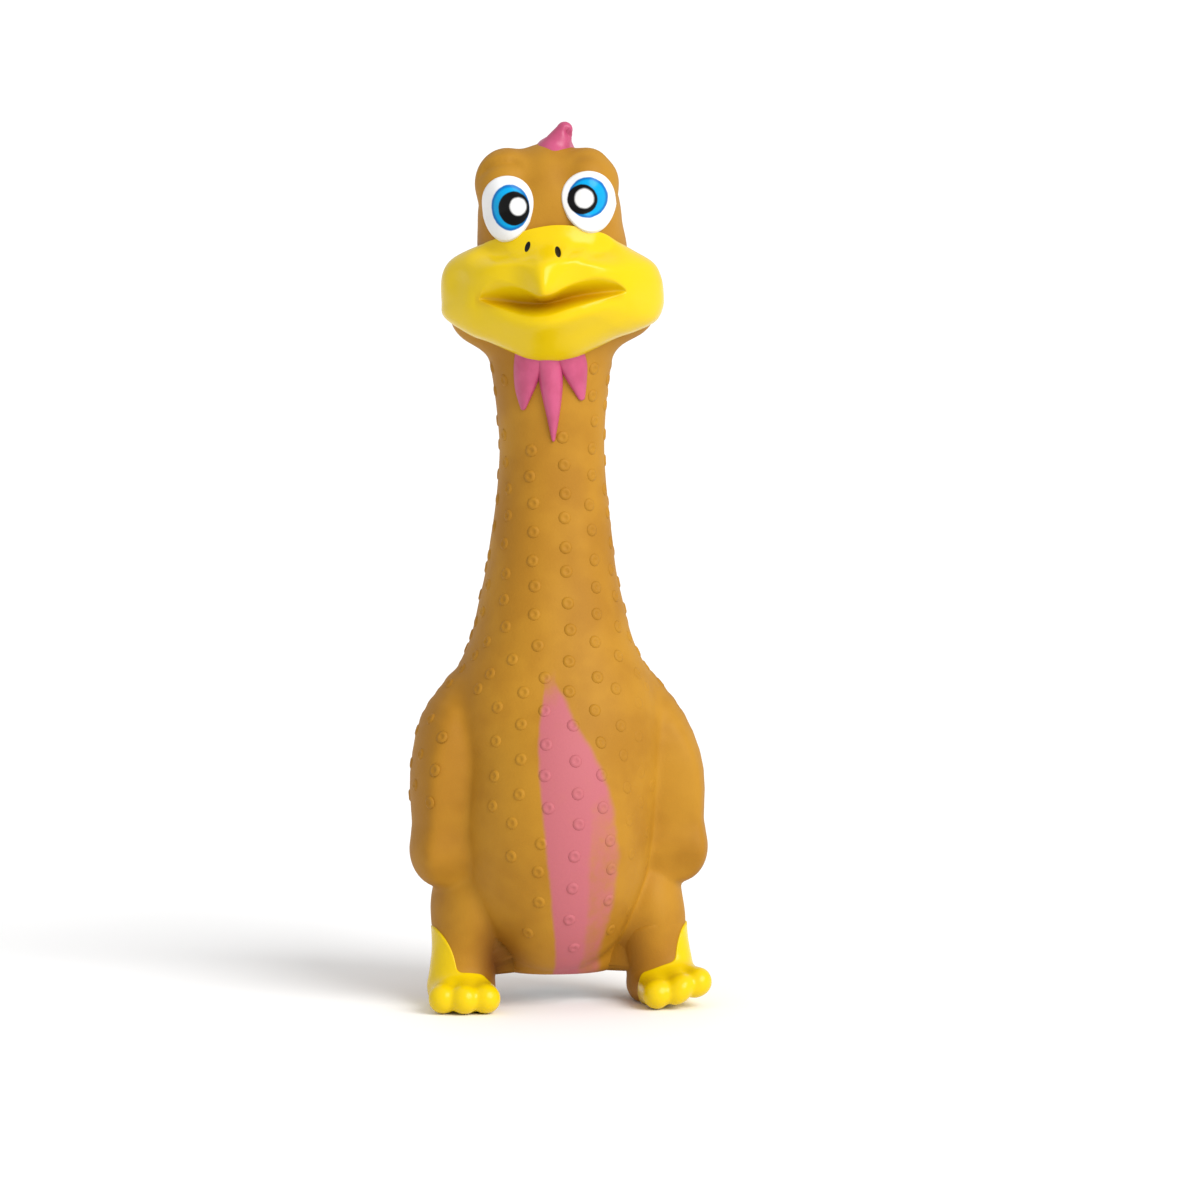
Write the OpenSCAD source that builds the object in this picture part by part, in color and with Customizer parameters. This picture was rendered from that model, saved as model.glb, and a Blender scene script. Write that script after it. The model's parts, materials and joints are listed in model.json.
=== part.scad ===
// Standing rubber chicken with a squeaker in its base.
// Hollow latex skin, soft filling, moulded and painted features, and a press-in squeaker.
// Millimetres. +Z is up, the breast faces -Y and the soles stand on Z = 0.

/* [Body] */
// Gap between the underside and the surface that the toy stands on
belly_lift = 6; // [5:0.5:8]
// Height of the body from its underside to the root of the neck
body_h = 74; // [60:1:90]
// Widest part of the body without its wings
body_w = 51; // [42:1:62]
// How far the breast stands in front of the middle
breast_d = 26; // [21:0.5:32]
// How far the back stands behind the middle
back_d = 22; // [18:0.5:27]
// Wall of the latex skin
skin_t = 1.8; // [1.2:0.1:2.4]

/* [Neck] */
// Height of the neck between the body and the head
neck_h = 46; // [38:1:56]
// Width of the neck at its root
neck_root_w = 28; // [24:0.5:34]
// Width of the neck at its narrowest
neck_w = 20.6; // [17:0.1:25]

/* [Head] */
// Height of the head from the neck to the crown
head_h = 42; // [36:1:50]
// Width of the head
head_w = 28; // [24:0.5:33]
// Depth of the head
head_d = 29; // [24:0.5:34]
// How far the head looks to one side, in degrees
head_turn = 12; // [0:1:20]
// How far the head tips to the same side, in degrees
head_tip = 3; // [0:0.5:6]
// How far the crown stands to that side of the body's middle
head_lean = 2; // [0:0.1:3]

/* [Bill] */
// Width of the bill across its cheeks
bill_w = 43; // [36:1:50]
// How far the bill stands out in front of the head
bill_reach = 13.5; // [10:0.5:16]
// Height of the upper bill
bill_h = 18; // [15:0.5:21]
// Width of the lower lip
lip_w = 25; // [20:0.5:28]

/* [Comb and wattle] */
// How far the comb rises over the crown
comb_rise = 5.4; // [4:0.2:7]
// Length of the comb along the head
comb_l = 20; // [16:0.5:23]
// Thickness of the comb
comb_t = 4.4; // [3:0.2:5.5]
// Length of the wattle
wattle_h = 16.5; // [13:0.5:18]
// Width of the wattle
wattle_w = 13; // [10:0.5:15]
// Thickness of the wattle
wattle_t = 3.4; // [2.5:0.1:4.5]

/* [Eyes] */
// Width of an eye
eye_w = 10.4; // [8:0.2:12]
// Height of an eye
eye_h = 13.2; // [11:0.2:15]
// Distance between the middles of the eyes
eye_pitch = 15.8; // [13:0.2:18]

/* [Wings and tail] */
// Height of a wing from its shoulder to its lowest feather
wing_h = 34; // [28:0.5:40]
// Length of a wing from front to back
wing_l = 31; // [26:0.5:36]
// How far a wing stands out from the body
wing_t = 3.8; // [2.5:0.1:4.5]
// How far the tail stands out behind the back
tail_l = 5.4; // [4:0.1:9]
// Width of the tail
tail_w = 13; // [10:0.5:16]

/* [Legs and feet] */
// Width of a thigh
thigh_w = 17.8; // [15:0.2:21]
// Height of a thigh
thigh_h = 22; // [18:0.5:26]
// Distance between the middles of the feet
foot_pitch = 41; // [36:0.5:46]
// Width of a foot across its toes
foot_w = 14.6; // [12:0.2:17]
// Length of a foot from toe to heel
foot_l = 28; // [23:0.5:33]
// Height of the toes
toe_h = 4.8; // [4:0.1:5.6]
// How far the toes stand in front of the middle
toe_reach = 20.5; // [17:0.5:24]

/* [Squeaker] */
// Outside of the squeaker's cup
cup_d = 15; // [13:0.5:17]
// Height of the cup
cup_h = 8.6; // [8:0.1:10]
// Wall of the cup
cup_wall = 1; // [0.8:0.1:1.4]
// Width of the flange round the cup
flange_w = 2; // [1.5:0.1:2.5]
// Thickness of the flange
flange_t = 1; // [0.8:0.1:1.4]
// Air hole in the cup's face
air_hole_d = 4; // [3:0.2:5]
// Outside of the reed block
block_d = 5.2; // [4.6:0.1:6]
// Width of the air slot in the reed block
slot_w = 2; // [1.6:0.1:2.4]
// Width of the reed
reed_w = 3.2; // [2.8:0.1:3.6]
// Thickness of the reed
reed_t = 0.25; // [0.2:0.05:0.35]

/* [Fits] */
// Gap between two sections of skin that move apart
seam_gap = 0.3; // [0.2:0.05:0.5]
// Gap between the squeaker's pieces
squeaker_gap = 0.1; // [0.05:0.05:0.2]
// Gap between the filling and what it lies against
filling_gap = 0.4; // [0.2:0.1:0.8]

/* [Hidden] */

LATEX = "#C8902B";
YELLOW = "#FFE100";
PINK = "#E8638F";
WHITE = "#F8F8F6";
FIBRE = "#EDEBE4";
PLASTIC = "#E9EEF2";
BRASS = "#C9A23C";

SKIN_SIDES = 36;
FILLING_SIDES = 18;
STEPS = 3;
FAR = 200;
BALL = 20;
ROUND = 64;

// heights where one section of the skin ends and the next begins
z_base = belly_lift;
z_root = z_base + body_h;
z_head = z_root + neck_h;
z_crown = z_head + head_h;
neck_section = neck_h / 3;
z_low = z_root + neck_section;
z_mid = z_root + 2 * neck_section;
z_eyes = z_head + 0.74 * head_h;
z_bill = z_head + 0.3 * head_h;
z_waist = z_root + 0.63 * neck_h;

// the squeaker stands upright in the base, behind the middle of the belly
cup_y = 3;
cup_bore = cup_d - 2 * cup_wall;
flange_d = cup_d + 2 * flange_w;
collar_d = flange_d + 2.4;
collar_t = 2.6;
z_cap = z_base + cup_h - cup_wall;
block_h = 5.6;
clamp_h = 2.2;
face_y = cup_y - 0.2;

// the breast panel is an oval
panel_w = 0.56 * body_w;
panel_z0 = z_base + cup_h + 2;
panel_z1 = z_root - 12;

// Each row of an outline is [height, middle x, half width, front, back, turn].
// Up to the waist of the body the rows are shares of the body, and above it they close on the neck.
function body_row(share, wide, deep) = [
    z_base + share * body_h, 0, wide * body_w / 2, deep * breast_d, deep * back_d, 0
];
function shoulder_row(share, left) = [
    z_base + share * body_h, 0,
    neck_root_w / 2 + left * (body_w - neck_root_w) / 2,
    neck_root_w / 2 + 0.86 * left * (breast_d - neck_root_w / 2),
    neck_root_w / 2 + left * (back_d - neck_root_w / 2), 0
];
function neck_row(height, wide) = [height, 0, wide / 2, wide / 2 * 1.03, wide / 2 * 1.03, 0];
function head_row(share, wide) = [
    z_head + share * head_h, -head_lean * share * share,
    wide * head_w / 2, wide * head_d / 2, wide * head_d / 2, -head_turn
];
// the base has to hold the collar, with room for the filling round it
base_r = collar_d / 2 + 1;
base_room = 2.5;
SKIN = [
    [z_base, 0, base_r, base_r, base_r + cup_y, 0],
    [z_base + 1.6, 0, base_r + 2, base_r + 4.5, base_r + cup_y + 2, 0],
    [
        z_base + 0.09 * body_h, 0,
        max(0.64 * body_w / 2, base_r + base_room),
        max(0.8 * breast_d, base_r + base_room),
        max(0.8 * back_d, base_r + cup_y + base_room), 0
    ],
    body_row(0.19, 0.78, 0.91),
    body_row(0.32, 0.93, 0.98),
    body_row(0.48, 1, 1),
    shoulder_row(0.62, 0.97),
    shoulder_row(0.73, 0.8),
    shoulder_row(0.84, 0.4),
    neck_row(z_root, neck_root_w),
    neck_row(z_root + neck_section, neck_w + 0.42 * (neck_root_w - neck_w)),
    neck_row(z_waist, neck_w),
    [z_head, 0, 0.86 * head_w / 2, 0.86 * head_d / 2, 0.86 * head_d / 2, -head_turn],
    head_row(0.3, 0.97),
    head_row(0.62, 1),
    head_row(0.8, 0.985),
    head_row(0.91, 0.9),
    head_row(0.97, 0.7),
    head_row(1, 0.36)
];

// Catmull-Rom curve through the rows, with u counting rows
function spline(a, b, c, d, t) =
    0.5 * (2 * b + (c - a) * t + (2 * a - 5 * b + 4 * c - d) * t * t
        + (3 * b - a - 3 * c + d) * t * t * t);
function row_at(rows, u) =
    let (last = len(rows) - 1, i = min(floor(u), last - 1))
    spline(rows[max(i - 1, 0)], rows[i], rows[i + 1], rows[min(i + 2, last)], u - i);
function smooth_rows(rows, steps) = [
    for (k = [0 : steps * (len(rows) - 1)]) row_at(rows, k / steps)
];
// The same outline moved inwards by t, with its ends moved in by the same
function inset(rows, t) =
    let (z0 = rows[0][0], z1 = rows[len(rows) - 1][0], fit = (z1 - z0 - 2 * t) / (z1 - z0))
    [for (r = rows) [
        z0 + t + (r[0] - z0) * fit, r[1], max(r[2] - t, 1), max(r[3] - t, 1), max(r[4] - t, 1), r[5]
    ]];
// A ring of points at one row: half an ellipse in front and half behind, turned about its middle
function ring(r, sides) = [
    for (k = [0 : sides - 1])
        let (
            a = 360 * k / sides,
            x = r[2] * cos(a),
            y = sin(a) * (sin(a) < 0 ? r[3] : r[4])
        )
        [r[1] + x * cos(r[5]) - y * sin(r[5]), x * sin(r[5]) + y * cos(r[5]), r[0]]
];

// A closed solid through every ring of a smoothed outline
module loft(rows, sides) {
    n = len(rows);
    points = [for (r = rows) each ring(r, sides)];
    walls = [
        for (i = [0 : n - 2], k = [0 : sides - 1])
            let (a = i * sides + k, b = i * sides + (k + 1) % sides)
            each [[a, a + sides, b], [b, a + sides, b + sides]]
    ];
    bottom = [[for (k = [0 : sides - 1]) k]];
    top = [[for (k = [sides - 1 : -1 : 0]) (n - 1) * sides + k]];
    polyhedron(points, concat(walls, bottom, top), convexity = 6);
}

// Free forms are kept at their own size as one mesh
module moulded() {
    resize([0, 0, 0]) children();
}

module ball(at, radii) {
    translate(at) scale(radii) sphere(1, $fn = BALL);
}

module slab(z0, z1) {
    translate([-FAR / 2, -FAR / 2, z0]) cube([FAR, FAR, z1 - z0]);
}

module outside() { loft(smooth_rows(SKIN, STEPS), SKIN_SIDES); }
module hollow() { loft(inset(smooth_rows(SKIN, STEPS), skin_t), SKIN_SIDES); }
module filling_form() { loft(inset(smooth_rows(SKIN, 1), skin_t + filling_gap), FILLING_SIDES); }

module skin_section(z0, z1) {
    difference() {
        intersection() {
            outside();
            slab(z0, z1);
        }
        hollow();
    }
}

// Puts what is modelled on a straight head onto the turned and tipped one
module on_head() {
    translate([-0.35 * head_lean, 0, z_bill])
        rotate([0, -head_tip, -head_turn])
            translate([0, 0, -z_bill])
                children();
}

module panel_prism(gap) {
    middle = (panel_z0 + panel_z1) / 2;
    translate([0, 0, middle])
        rotate([90, 0, 0])
            scale([panel_w / 2 - gap, (panel_z1 - panel_z0) / 2 - gap, 1])
                cylinder(h = FAR, r = 1, $fn = ROUND);
}

module body_shell() {
    color(LATEX) moulded() difference() {
        skin_section(z_base, z_root - seam_gap);
        panel_prism(0);
        translate([0, cup_y, z_base - skin_t])
            cylinder(h = skin_t * 3, d = collar_d + 2 * squeaker_gap, $fn = ROUND);
    }
}

module belly_panel() {
    color(LATEX) moulded() intersection() {
        skin_section(z_base, z_root);
        panel_prism(seam_gap);
    }
}

// A wing is a shoulder pad over a row of longer feathers
module wing(side) {
    top = z_root - 0.27 * body_h;
    shoulder_h = 0.62 * wing_h;
    feather_h = 0.5 * wing_h;
    reach = body_w / 2 + wing_t;
    color(LATEX) moulded() difference() {
        union() {
            ball([side * (reach - 7), 0, top - shoulder_h / 2], [7, wing_l / 2, shoulder_h / 2]);
            ball([side * (reach - 7), 4, top - wing_h + feather_h / 2], [6.6, wing_l / 2 - 4, feather_h / 2]);
        }
        outside();
    }
}

// The tail is a short upright fan on the back
module tail() {
    root_z = z_base + 0.56 * body_h;
    color(LATEX) moulded() difference() {
        hull() {
            ball([0, back_d - 3, root_z - 3], [tail_w / 2, 3, 5]);
            ball([0, back_d + tail_l - 2.5, root_z + 8], [tail_w * 0.32, 2.5, 3.5]);
        }
        outside();
    }
}

// A thigh is a ball at the hip that runs down to the shank of its foot
module thigh_form(side) {
    hull() {
        ball(
            [side * (body_w / 2 - 1.2 - thigh_w / 2), -3, z_base + thigh_h / 2 - 1],
            [thigh_w / 2, thigh_w * 0.74, thigh_h / 2]
        );
        ball([side * (foot_pitch / 2 + 0.4), -1.5, z_base + 5], [3, 5, 3]);
    }
}

module thigh(side) {
    color(LATEX) moulded() difference() {
        thigh_form(side);
        outside();
        slab(-FAR / 2, toe_h / 2);
        foot_form(side);
    }
}

// Three rounded toes that run back into one heel, with a short shank up the outside
module foot_form(side) {
    toe_r = toe_h / 2 * 1.1;
    heel_y = foot_l - toe_reach - toe_r;
    translate([side * foot_pitch / 2, 0, 0]) {
        for (toe = [-1, 0, 1])
            hull() {
                ball([toe * (foot_w / 2 - toe_r), abs(toe) * 1.6 - toe_reach + toe_r, toe_h - toe_r], toe_r * [1, 1, 1]);
                ball([toe * (foot_w / 2 - toe_r) * 0.5, heel_y, toe_h - toe_r], toe_r * [1, 1, 1]);
            }
        hull() {
            ball([side * 1.5, -6, toe_h], [4.6, 6, 3]);
            ball([side * 2.6, 1, z_base + 7], [3, 4.4, 2.4]);
        }
    }
}

module foot(side) {
    color(YELLOW) difference() {
        moulded() difference() {
            foot_form(side);
            outside();
        }
        translate([-FAR / 2, -FAR / 2, -FAR]) cube(FAR);
    }
}

module lower_neck_skin() {
    color(LATEX) moulded() skin_section(z_root, z_low - seam_gap);
}

module middle_neck_skin() {
    color(LATEX) moulded() skin_section(z_low, z_mid - seam_gap);
}

module upper_neck_skin() {
    color(LATEX) moulded() skin_section(z_mid, z_head - seam_gap);
}

module head_shell() {
    color(LATEX) moulded() skin_section(z_head, z_crown + 1);
}

module lower_bill_form() {
    on_head() ball([0, -head_d / 2 - 1, z_bill - 6.4], [lip_w / 2, bill_reach - 3.5, 6.4]);
}

module upper_bill() {
    cheek_w = bill_w * 0.27;
    color(YELLOW) moulded() difference() {
        on_head() union() {
            for (side = [-1, 1])
                ball(
                    [side * (bill_w / 2 - cheek_w), -head_d / 2 + 3, z_bill + 0.5],
                    [cheek_w, bill_reach * 0.72, bill_h / 2]
                );
            ball([0, -head_d / 2, z_bill + 4], [bill_w * 0.2, bill_reach, bill_h * 0.54]);
        }
        outside();
    }
}

module lower_bill() {
    color(YELLOW) moulded() difference() {
        lower_bill_form();
        outside();
        upper_bill();
    }
}

// A row of lobes along the crown, highest in front
module comb() {
    lobes = 3;
    pitch = comb_l / lobes;
    front = -comb_l / 2 - 1.5;
    color(PINK) moulded() difference() {
        on_head() {
            hull()
                for (end = [0.5, lobes - 0.5])
                    ball([0, front + pitch * end, z_crown - 1], [comb_t * 0.7, pitch / 2, 3]);
            for (i = [0 : lobes - 1])
                hull() {
                    ball([0, front + pitch * (i + 0.5), z_crown], [comb_t * 0.6, pitch / 2, 2]);
                    ball(
                        [1.2, front + pitch * (i + 0.4), z_crown + comb_rise - 1.6 - 0.9 * i],
                        [comb_t * 0.4, pitch * 0.34, 1.6]
                    );
                }
        }
        outside();
    }
}

// Three soft lobes that hang under the bill, the middle one longest
module wattle() {
    lobe_w = wattle_w / 3;
    root_z = z_head + 2.5;
    color(PINK) moulded() difference() {
        on_head() for (lobe = [-1, 0, 1])
            hull() {
                ball([lobe * lobe_w * 0.7, -neck_w / 2 - 1.6, root_z - 1], [lobe_w * 0.9, wattle_t / 2 + 0.6, 2]);
                ball(
                    [lobe * lobe_w, -neck_w / 2 - 1.3, root_z - wattle_h + 2.6 + abs(lobe) * 6],
                    [lobe_w * 0.66, wattle_t / 2, 2.6]
                );
            }
        outside();
        lower_bill_form();
    }
}

module eye(side) {
    color(WHITE) moulded() difference() {
        on_head() ball(
            [side * eye_pitch / 2, -head_d / 2 + 4.4, z_eyes],
            [eye_w / 2, 4.4, eye_h / 2]
        );
        outside();
    }
}

module body_filling() {
    color(FIBRE) moulded() difference() {
        intersection() {
            filling_form();
            slab(z_base, z_root - seam_gap - filling_gap);
        }
        translate([0, cup_y, 0])
            cylinder(h = z_base + cup_h + collar_t, d = collar_d + 2 * filling_gap, $fn = ROUND);
    }
}

module filling_section(z0, z1) {
    color(FIBRE) moulded() intersection() {
        filling_form();
        slab(z0 + filling_gap, z1 - filling_gap);
    }
}

module lower_neck_filling() { filling_section(z_root, z_low); }
module middle_neck_filling() { filling_section(z_low, z_mid); }
module head_filling() { filling_section(z_mid, z_crown); }

// A thick lip moulded round the hole in the base
module squeaker_collar() {
    color(LATEX) translate([0, cup_y, z_base]) difference() {
        cylinder(h = collar_t, d = collar_d, $fn = ROUND);
        translate([0, 0, -1]) cylinder(h = collar_t + 2, d = cup_d, $fn = ROUND);
        translate([0, 0, -1])
            cylinder(h = 1 + flange_t + squeaker_gap, d = flange_d + 2 * squeaker_gap, $fn = ROUND);
    }
}

module squeaker_cup() {
    color(PLASTIC) translate([0, cup_y, z_base]) difference() {
        union() {
            cylinder(h = cup_h, d = cup_d, $fn = ROUND);
            cylinder(h = flange_t, d = flange_d, $fn = ROUND);
        }
        translate([0, 0, cup_wall]) cylinder(h = cup_h, d = cup_bore, $fn = ROUND);
        translate([0, 0, -1]) cylinder(h = cup_h, d = air_hole_d, $fn = ROUND);
    }
}

// Lid of the cup, with a round hole that holds the reed block
module squeaker_cap() {
    color(PLASTIC) translate([0, cup_y, z_cap]) difference() {
        cylinder(h = cup_wall, d = cup_bore - 2 * squeaker_gap, $fn = ROUND);
        translate([0, 0, -1]) cylinder(h = cup_wall + 2, d = block_d, $fn = ROUND);
    }
}

// Half a rod that fills the cap's hole behind the reed, with an air slot in its flat face
module reed_block() {
    color(BRASS) difference() {
        translate([0, cup_y, z_cap + cup_wall - block_h]) cylinder(h = block_h, d = block_d, $fn = ROUND);
        translate([-block_d, face_y - block_d, z_base]) cube([2 * block_d, block_d, FAR]);
        translate([-slot_w / 2, face_y - 1, z_cap + cup_wall - block_h + clamp_h])
            cube([slot_w, 1.9, FAR]);
    }
}

// The other half of the rod, which presses the root of the reed against the block
module reed_clamp() {
    color(BRASS) difference() {
        translate([0, cup_y, z_cap + cup_wall - block_h]) cylinder(h = clamp_h, d = block_d, $fn = ROUND);
        translate([-block_d, face_y - reed_t, z_base]) cube([2 * block_d, block_d + reed_t, FAR]);
    }
}

// The free length of the reed, over the slot
module reed() {
    root_z = z_cap + cup_wall - block_h + clamp_h + squeaker_gap;
    color(PLASTIC)
        translate([-reed_w / 2, face_y - reed_t - squeaker_gap, root_z])
            cube([reed_w, reed_t, block_h - clamp_h - squeaker_gap]);
}

module left_wing() { wing(1); }
module right_wing() { wing(-1); }
module left_thigh() { thigh(1); }
module right_thigh() { thigh(-1); }
module left_foot() { foot(1); }
module right_foot() { foot(-1); }
module left_eye() { eye(1); }
module right_eye() { eye(-1); }

body_shell();
belly_panel();
left_wing();
right_wing();
tail();
left_thigh();
right_thigh();
left_foot();
right_foot();
lower_neck_skin();
middle_neck_skin();
upper_neck_skin();
head_shell();
upper_bill();
lower_bill();
comb();
wattle();
left_eye();
right_eye();
body_filling();
lower_neck_filling();
middle_neck_filling();
head_filling();
squeaker_collar();
squeaker_cup();
squeaker_cap();
reed_block();
reed_clamp();
reed();
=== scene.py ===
"""A standing latex rubber chicken: its moulded skin, painted features and finishes, on the CAD frame."""
import json
import math

import bpy
import numpy as np
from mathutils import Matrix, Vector


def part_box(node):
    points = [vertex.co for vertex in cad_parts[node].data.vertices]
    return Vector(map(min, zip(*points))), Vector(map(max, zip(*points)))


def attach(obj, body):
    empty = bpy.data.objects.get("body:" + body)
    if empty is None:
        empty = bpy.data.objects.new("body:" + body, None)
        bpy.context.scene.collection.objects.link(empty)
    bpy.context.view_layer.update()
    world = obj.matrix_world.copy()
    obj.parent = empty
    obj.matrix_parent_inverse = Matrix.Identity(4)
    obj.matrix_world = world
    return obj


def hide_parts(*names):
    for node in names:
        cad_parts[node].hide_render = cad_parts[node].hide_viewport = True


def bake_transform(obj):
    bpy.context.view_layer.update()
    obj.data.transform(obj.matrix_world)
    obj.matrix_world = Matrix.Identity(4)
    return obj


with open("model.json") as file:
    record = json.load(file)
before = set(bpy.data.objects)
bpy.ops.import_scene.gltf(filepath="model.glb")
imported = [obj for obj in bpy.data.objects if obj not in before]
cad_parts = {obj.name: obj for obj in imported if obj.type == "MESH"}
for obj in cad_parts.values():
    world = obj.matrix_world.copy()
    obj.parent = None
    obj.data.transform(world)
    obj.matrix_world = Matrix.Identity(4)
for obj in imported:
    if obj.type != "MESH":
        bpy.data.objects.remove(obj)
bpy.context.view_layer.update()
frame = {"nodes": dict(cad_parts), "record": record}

bl_info = {
    "name": "Rubber Chicken",
    "version": (1, 0, 0),
    "blender": (4, 5, 0),
    "location": "3D View > Sidebar > Chicken",
    "description": "Builds the skin, rings, bill, comb, wattle, eyes and feet of a latex rubber chicken",
    "category": "Add Mesh",
}

MM = 0.001

# Heights where the skin's sections meet, and the squeaker's collar, in mm, as the frame has them
Z_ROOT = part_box("lower_neck_skin")[0].z / MM
Z_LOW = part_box("middle_neck_skin")[0].z / MM
Z_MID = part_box("upper_neck_skin")[0].z / MM
Z_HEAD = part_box("head_shell")[0].z / MM
COLLAR = [np.array(corner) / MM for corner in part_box("squeaker_collar")]
COLLAR_Y = (COLLAR[0][1] + COLLAR[1][1]) / 2
COLLAR_R = (COLLAR[1][0] - COLLAR[0][0]) / 2
Z_BASE = COLLAR[0][2]

# The head is turned to one side and tipped about this point, as in the CAD
HEAD_PIVOT = np.array([-0.7, 0.0, 138.6])
HEAD_TURN = math.radians(-12)
HEAD_TIP = math.radians(-3)

# Rays that find the skin run level between these two heights, and fan out from them to the base and
# to the crown. Each part's rays start this far out, beyond its widest place.
BASE_FAN = 24.0
CROWN_FAN = 152.0
BODY_REACH = 44
NECK_REACH = 24
HEAD_REACH = 36
LEG_REACH = 26

# Mean radius of the skin round the body
SKIN_R = 20

# Shares of a field's own value that a ray may step by, along the skin's rays and the head's, which is
# less than all because a field of joined ellipsoids is a little off
SKIN_STRIDE = 0.76
HEAD_STRIDE = 0.82


# ---------------------------------------------------------------- small tools

def linear(code):
    """Linear red, green and blue of an sRGB hex colour."""
    parts = np.array([int(code[i:i + 2], 16) for i in (0, 2, 4)]) / 255
    return tuple(np.where(parts <= 0.04045, parts / 12.92, ((parts + 0.055) / 1.055) ** 2.4))


def smoothstep(t):
    """0 before 0, 1 after 1, and 3t^2 - 2t^3 between them."""
    t = np.clip(t, 0, 1)
    return t * t * (3 - 2 * t)


def curve_through(points, steps=16, closed=False):
    """Catmull-Rom curve through the points, with so many steps between each two."""
    points = np.asarray(points, float)
    if closed:
        points = np.vstack([points[-1:], points, points[:2]])
    else:
        points = np.vstack([2 * points[:1] - points[1:2], points, 2 * points[-1:] - points[-2:-1]])
    a, b, c, d = points[:-3], points[1:-2], points[2:-1], points[3:]
    t = (np.arange(steps) / steps)[None, :, None]
    a, b, c, d = (k[:, None, :] for k in (a, b, c, d))
    run = 0.5 * (2 * b + (c - a) * t + (2 * a - 5 * b + 4 * c - d) * t**2 + (3 * b - a - 3 * c + d) * t**3)
    run = run.reshape(-1, points.shape[1])
    return run if closed else np.vstack([run, points[-2:-1]])


def unite(a, b, k):
    """The smaller of two fields, rounded where they meet over a width k."""
    h = np.maximum(k - np.abs(a - b), 0) / k
    return np.minimum(a, b) - h * h * k / 4


def cross(a, b, k):
    """The larger of two fields, rounded where they meet over a width k."""
    return -unite(-a, -b, k)


def ellipsoid(p, at, radii, tilt=0.0):
    """Distance to an ellipsoid, which may lean in the front view by an angle in degrees."""
    q = p - np.array(at)
    if tilt:
        c, s = math.cos(math.radians(tilt)), math.sin(math.radians(tilt))
        q = np.column_stack([q[:, 0] * c + q[:, 2] * s, q[:, 1], q[:, 2] * c - q[:, 0] * s])
    radii = np.array(radii)
    k0 = np.linalg.norm(q / radii, axis=1)
    k1 = np.linalg.norm(q / radii**2, axis=1)
    return k0 * (k0 - 1) / np.maximum(k1, 1e-9)


def bone(p, a, b, ra, rb):
    """Distance to a rod with round ends whose radius runs from ra at a to rb at b."""
    a, b = np.array(a, float), np.array(b, float)
    along = b - a
    t = np.clip((p - a) @ along / (along @ along), 0, 1)
    return np.linalg.norm(p - a - t[:, None] * along, axis=1) - (ra + (rb - ra) * t)


def hump(x, z, at, wide, high):
    """1 at a point of the front view, falling to 0 round it as a Gaussian bell."""
    return np.exp(-((x - at[0]) / wide) ** 2 - ((z - at[1]) / high) ** 2)


# ---------------------------------------------------------------- the moulded form

# Trunk and neck without arms and belly: height, half width, depth in front, depth behind, middle
TRUNK = curve_through([
    (-6, 12, 12, 14, 0), (9, 13, 12, 15, 0), (14, 14.5, 12.5, 17, 0), (20, 17, 14, 19, 0),
    (31, 20, 18, 21.5, 0), (39, 21, 20.5, 22, 0), (47, 21.4, 21.6, 21.8, 0),
    (55, 21.4, 21.4, 20.5, -0.2), (63, 19.6, 19.4, 18.5, -0.5), (71, 16, 16.7, 16, -0.7),
    (79, 14, 14.4, 14.1, -0.8), (85, 12.7, 13, 12.9, -0.8), (91, 11.9, 12.2, 12.1, -0.7),
    (97, 11.1, 11.4, 11.3, -0.6), (103, 10.5, 10.8, 10.7, -0.6), (109, 10.2, 10.5, 10.4, -0.6),
    (115, 10.5, 10.8, 10.7, -0.7), (121, 11.1, 11.4, 11.3, -0.8), (126.4, 11.9, 12.2, 12.2, -0.8),
    (133, 12.8, 13, 13, -0.6), (152, 13, 13.5, 13.5, 0),
])


def trunk(p):
    """Distance from the axis less the outline's radius there, where each level is a superellipse."""
    square = 2.25
    half, front, back, middle = (np.interp(p[:, 2], TRUNK[:, 0], TRUNK[:, i]) for i in (1, 2, 3, 4))
    deep = np.where(p[:, 1] < 0, front, back)
    x = p[:, 0] - middle
    r = np.hypot(x, p[:, 1]) + 1e-9
    share = (np.abs(x) / r / half) ** square + (np.abs(p[:, 1]) / r / deep) ** square
    return cross(r - share ** (-1 / square), p[:, 2] - 150, 4)


# Middle line and radius of an upper arm that is twice as deep as it is wide
ARM = curve_through([
    (17.9, 0.2, 61.5, 3.6), (21.3, -0.5, 54, 5.3), (23.1, -1.2, 45, 5.9), (23.5, -1.8, 35, 5.3)], 3)


def body_form(p):
    """Trunk, belly, folded arms, thighs and tail in one, flat at the base. An arm is a chain of rods
    that ends in a lump, and belly, thighs and tail are ellipsoids."""
    q = np.column_stack([np.abs(p[:, 0]), p[:, 1], p[:, 2]])
    shoulder_lean = 0.7 * smoothstep((p[:, 2] - 46) / 14)
    r = np.column_stack([np.abs(p[:, 0] + shoulder_lean), p[:, 1] * 0.5, p[:, 2]])
    arm, near = np.full(len(p), 30.0), q[:, 0] > 9
    arm[near] = np.min([bone(r[near], a[:3], b[:3], a[3], b[3]) for a, b in zip(ARM, ARM[1:])], axis=0)
    lump = ellipsoid(q, (23.6, -4.5, 30.6), (5.9, 10.5, 7.3))
    thigh = ellipsoid(q, (17.6, -2, 18.5), (7.4, 11, 12))
    belly = ellipsoid(p, (-1.2, -5.5, 37.5), (19.5, 20.9, 32.5))
    tail = ellipsoid(p, (0, 20.5, 49), (6, 6.5, 8.5))
    form = unite(trunk(p), unite(arm, lump, 1.3), 1.7)
    form = unite(form, thigh, 1.6)
    form = unite(form, belly, 1.1)
    form = unite(form, tail, 5)
    return cross(form, Z_BASE - p[:, 2], 3)


# How far the middle of a leg stands from the toy's middle
LEG_X = 19.1


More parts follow.
